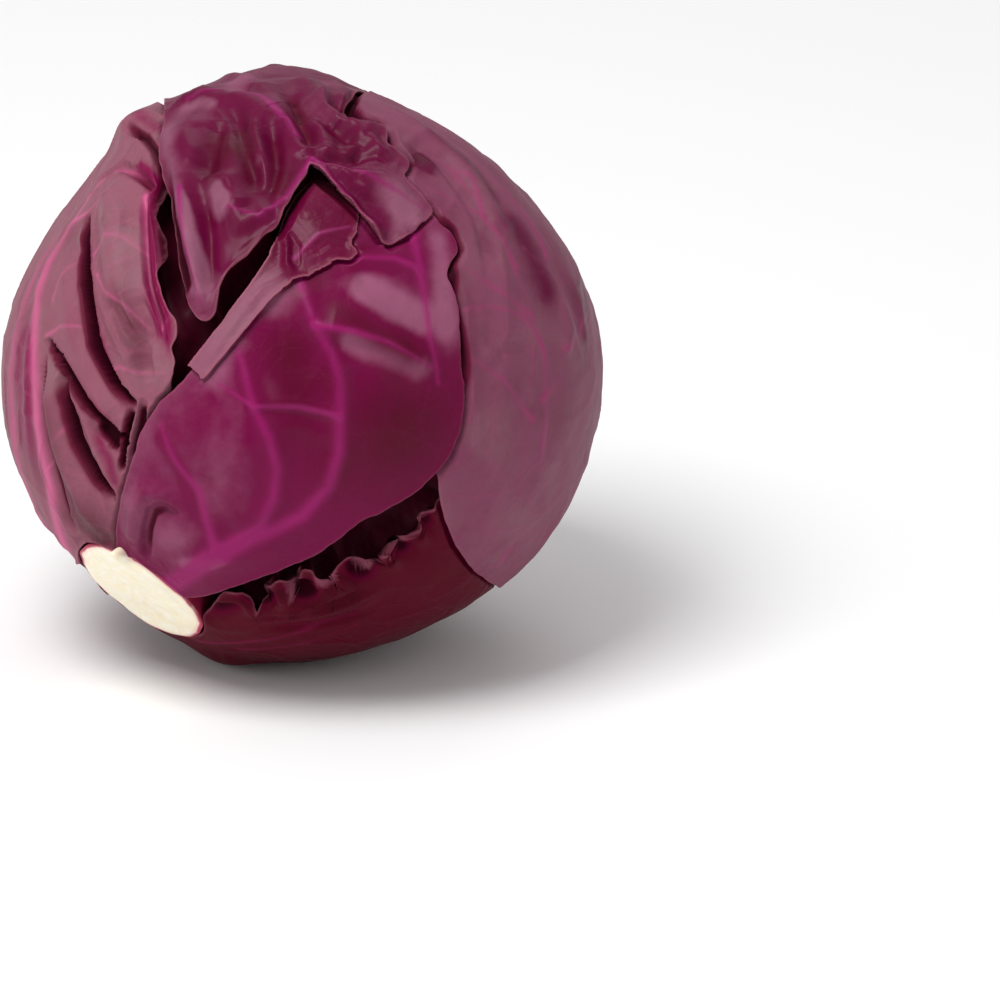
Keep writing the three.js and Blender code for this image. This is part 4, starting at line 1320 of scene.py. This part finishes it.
class Material:
    """A node material. Every node is made by one method."""

    def __init__(self, name):
        self.data = bpy.data.materials.new(name)
        self.data.use_nodes = True
        self.tree = self.data.node_tree
        self.tree.nodes.clear()
        self.shader = self.node("ShaderNodeBsdfPrincipled")
        output = self.node("ShaderNodeOutputMaterial")
        self.tree.links.new(self.shader.outputs["BSDF"], output.inputs["Surface"])

    def node(self, kind, settings=None, inputs=None):
        """A node of a kind: its settings first, then the values or links of its sockets."""
        node = self.tree.nodes.new(kind)
        for key, value in (settings or {}).items():
            setattr(node, key, value)
        for key, value in (inputs or {}).items():
            self.feed(node.inputs[key], value)
        return node

    def feed(self, socket, value):
        """Links a socket to a value, or sets it."""
        if isinstance(value, Value):
            self.tree.links.new(value.socket, socket)
        elif isinstance(value, bpy.types.NodeSocket):
            self.tree.links.new(value, socket)
        else:
            socket.default_value = value

    def place(self):
        """The point's place in the piece's own coordinates."""
        return self.node("ShaderNodeTexCoord").outputs["Object"]

    def flat(self):
        """The point's place in the piece's flat map."""
        return self.node("ShaderNodeUVMap", {"uv_map": "leaf_map"}).outputs["UV"]

    def fact(self, name):
        """One of the piece's own named facts."""
        return Value(self, self.node("ShaderNodeAttribute", {"attribute_name": name}).outputs["Fac"])

    def step(self, value, low, high):
        """0 to 1 as the value goes from low to high, smooth at both ends."""
        inputs = {"Value": value, "From Min": low, "From Max": high, "To Min": 0.0, "To Max": 1.0}
        node = self.node("ShaderNodeMapRange", {"interpolation_type": "SMOOTHSTEP"}, inputs)
        return Value(self, node.outputs["Result"])

    def mix(self, share, one, other):
        """Two colours mixed."""
        settings = {"data_type": "RGBA", "clamp_factor": True}
        return self.node("ShaderNodeMix", settings, {0: share, 6: one, 7: other}).outputs[2]

    def noise(self, place, scale, detail, roughness=0.55):
        """A cloudy pattern from about 0.3 to 0.7."""
        inputs = {"Vector": place, "Scale": scale, "Detail": detail, "Roughness": roughness}
        return Value(self, self.node("ShaderNodeTexNoise", {}, inputs).outputs["Fac"])

    def vector(self, operation, inputs):
        """A vector node's result."""
        return self.node("ShaderNodeVectorMath", {"operation": operation}, inputs).outputs[0]

    def bent(self, place, scale, amount):
        """A place shifted by a noise, so that straight cells turn organic."""
        inputs = {"Vector": place, "Scale": scale, "Detail": 2.0}
        shift = self.node("ShaderNodeTexNoise", {}, inputs).outputs["Color"]
        centred = self.vector("SUBTRACT", {0: shift, 1: (0.5, 0.5, 0.5)})
        spread = self.vector("SCALE", {0: centred, "Scale": amount})
        return self.vector("ADD", {0: place, 1: spread})

    def cell_edges(self, place, scale, width):
        """1 on the borders of a Voronoi pattern's cells, 0 inside them."""
        settings = {"feature": "DISTANCE_TO_EDGE", "voronoi_dimensions": "2D"}
        inputs = {"Vector": place, "Scale": scale, "Randomness": 1.0}
        node = self.node("ShaderNodeTexVoronoi", settings, inputs)
        return 1.0 - self.step(Value(self, node.outputs["Distance"]), 0.0, width)

    def keep(self, **constants):
        """Sets the shader's even sockets, by name with an underscore for each space."""
        for key, value in constants.items():
            self.shader.inputs[key.replace("_", " ")].default_value = value

    def bump(self, height, strength, distance):
        """Gives the shader a bumpy surface, its distance in metres."""
        inputs = {"Height": height, "Strength": strength, "Distance": distance}
        node = self.node("ShaderNodeBump", {}, inputs)
        self.feed(self.shader.inputs["Normal"], node.outputs["Normal"])


def leaf_material(name, rubbed, bloom, dark, vein, net=0.10, net_scale=26.0, gloss=0.42, shine=1.0,
                  edge=0.5, grey=0.2):
    """Waxy cabbage leaf: saturated leaf where the wax is rubbed off, greyish mauve
    where it lies, wine-dark areas that are mostly painted shade, soft violet veins, a
    faint net of veinlets, painted shade that turns crimson and then nearly black in
    hollows and along shadow lines, and a painted highlight along the thin margin."""
    made = Material(name)
    rubbed, bloom, dark, vein = (colour(*each) for each in (rubbed, bloom, dark, vein))
    place = made.place()
    flat = made.flat()
    cloud = made.noise(place, 42.0, detail=4.0, roughness=0.6)
    grain = made.noise(place, 420.0, detail=3.0, roughness=0.6)
    mottle = made.noise(place, 95.0, detail=4.0, roughness=0.65)
    wax = made.step(made.fact("bloom") + (cloud - 0.5) * 0.55 + (grain - 0.5) * 0.16, 0.15, 0.85)
    leaf = made.mix(wax, rubbed, bloom)
    patches = made.noise(made.bent(place, 30.0, 0.02), 55.0, detail=4.0, roughness=0.6)
    leaf = made.mix(made.step(patches, 0.48, 0.72) * wax * grey, leaf, GREY_WAX)
    # Painted shade, mostly: the leaf's dark forms, made a little uneven.
    leaf = made.mix((made.fact("dark") + (cloud - 0.5) * 0.3).clamped() * 0.9, leaf, dark)
    leaf = made.mix(made.step(mottle, 0.5, 0.9) * 0.3, leaf, dark)
    veinlets = made.cell_edges(made.bent(flat, 14.0, 0.06), net_scale, 0.10)
    fine = made.cell_edges(made.bent(flat, 50.0, 0.02), net_scale * 2.7, 0.12)
    patchy = made.step(made.noise(place, 30.0, detail=2.0), 0.4, 0.62)
    net_of_veins = (veinlets * 0.7 + fine * 0.4).clamped() * patchy
    leaf = made.mix(net_of_veins * net, leaf, vein)
    leaf = made.mix((made.fact("vein") * (0.6 + cloud * 0.5)).clamped(), leaf, vein)
    # Painted shade: crimson, then nearly black, where the leaf lies deep under the head's form or under a
    # shadow line.
    painted_shade = made.fact("painted_shade")
    leaf = made.mix(made.step(painted_shade, 0.0, 0.4) * 0.9, leaf, PAINTED_SHADE_CRIMSON)
    leaf = made.mix(made.step(painted_shade, 0.35, 0.95) * 0.97, leaf, PAINTED_SHADE_WINE)
    # Painted highlight along the leaf's thin edge.
    leaf = made.mix(made.fact("margin") * edge, leaf, PAINTED_EDGE_HIGHLIGHT)
    made.feed(made.shader.inputs["Base Color"], leaf)
    made.feed(made.shader.inputs["Roughness"], painted_shade * 0.2 + gloss + wax * 0.14 + (grain - 0.5) * 0.14)
    made.feed(made.shader.inputs["Coat Weight"], (0.15 - wax * 0.10) * (1.0 - painted_shade) * shine)
    made.keep(Coat_Roughness=0.32, Specular_IOR_Level=0.08 * shine)
    made.bump(net_of_veins * 0.35 + mottle * 0.8 + grain * 0.16, 0.40, 0.0010)
    return made.data


def stem_material():
    """Moist ivory cut stem: faint rings and streaks, pink towards the rim, crimson skin."""
    made = Material("cut_stem")
    place = made.place()
    streak = made.noise(made.bent(made.flat(), 30.0, 0.05), 160.0, detail=4.0, roughness=0.6)
    patch = made.noise(place, 110.0, detail=3.0, roughness=0.5)
    rim = made.fact("rim")
    pink = made.step(rim + (patch - 0.5) * 0.9, 0.45, 1.0) * 0.55
    skin = made.step(rim + (patch - 0.5) * 0.5, 0.84, 1.0)
    face = made.mix(made.step(streak, 0.35, 0.75), colour(0.97, 0.88, 0.64), colour(1.0, 0.96, 0.84))
    face = made.mix(made.step(patch, 0.5, 0.8) * 0.3, face, colour(0.86, 0.66, 0.45))
    face = made.mix(pink, face, colour(0.85, 0.50, 0.48))
    face = made.mix(skin, face, colour(0.42, 0.008, 0.06))
    face = made.mix(made.fact("below"), face, colour(0.30, 0.01, 0.05))
    made.feed(made.shader.inputs["Base Color"], face)
    made.feed(made.shader.inputs["Roughness"], 0.42 + (patch - 0.5) * 0.3)
    made.keep(Subsurface_Weight=0.12, Subsurface_Radius=(0.004, 0.002, 0.001))
    made.bump(streak * 0.5 + patch, 0.3, 0.0008)
    return made.data


def floor_material():
    """Plain matt white."""
    made = Material("floor")
    made.keep(Base_Color=colour(0.95, 0.95, 0.95), Roughness=0.9, Specular_IOR_Level=0.1)
    return made.data


def finish_piece(piece, node, slot_name):
    """The piece takes its material, rides on the part's one body and stands for its node."""
    piece.data.materials.append(MATERIALS[slot_name])
    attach(piece, "root")
    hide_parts(node)


def build_floor():
    """A plain white floor, wide enough for every view."""
    corners = [(-1, -1), (1, -1), (1, 1), (-1, 1)]
    mesh = bpy.data.meshes.new("floor")
    mesh.from_pydata([(x * FLOOR_REACH, y * FLOOR_REACH, 0) for x, y in corners], [], [(0, 1, 2, 3)])
    floor = bpy.data.objects.new("floor", mesh)
    bpy.context.collection.objects.link(floor)
    mesh.materials.append(floor_material())


def area_light(name, place, size, power):
    """A square soft light at a place in metres from the head's middle, turned to it."""
    light = bpy.data.lights.new(name, "AREA")
    light.size = size
    light.energy = power
    lamp = bpy.data.objects.new(name, light)
    bpy.context.collection.objects.link(lamp)
    lamp.location = LIGHT_AIM + np.array(place)
    lamp.rotation_mode = "QUATERNION"
    lamp.rotation_quaternion = Vector(place).to_track_quat("Z", "Y")


def build_world():
    """An even white studio all round."""
    world = bpy.data.worlds.new("studio")
    bpy.context.scene.world = world
    world.use_nodes = True
    background = world.node_tree.nodes["Background"]
    background.inputs["Color"].default_value = colour(1.0, 1.0, 1.0)
    background.inputs["Strength"].default_value = STUDIO_WHITE


def build_camera():
    """The camera looks straight to the back and 20 degrees down, its axis through the
    middle of the picture's frame, from far away."""
    pixel = MM_PER_PIXEL * METRES
    lens = bpy.data.cameras.new("camera")
    lens.sensor_width = SENSOR
    lens.lens = SENSOR * CAMERA_DISTANCE / (PICTURE_SIZE * pixel)
    lens.clip_end = CLIP_END
    camera = bpy.data.objects.new("camera", lens)
    bpy.context.collection.objects.link(camera)
    offset = (PICTURE_SIZE / 2 - PICTURE_CENTRE) * pixel
    target = HEAD_CENTRE * METRES + offset[0] * RIGHT - offset[1] * UP
    place = np.column_stack([RIGHT, UP, NEAR, target + CAMERA_DISTANCE * NEAR])
    camera.matrix_world = Matrix(np.vstack([place, [[0, 0, 0, 1]]]).tolist())
    bpy.context.scene.camera = camera
    bpy.context.scene.view_settings.view_transform = "Standard"


MATERIALS = {name: leaf_material(name, **look) for name, look in LOOKS.items()}
MATERIALS["stem"] = stem_material()

for leaf_place, each_leaf in enumerate(LEAVES):
    finish_piece(build_leaf(each_leaf, leaf_place), each_leaf.name, each_leaf.name)
finish_piece(build_heart(), "heart", "inner_leaf")
finish_piece(build_stump(), "stump", "stem")

build_floor()
for light_name, settings in LIGHTS.items():
    area_light(light_name, *settings)
build_world()
build_camera()
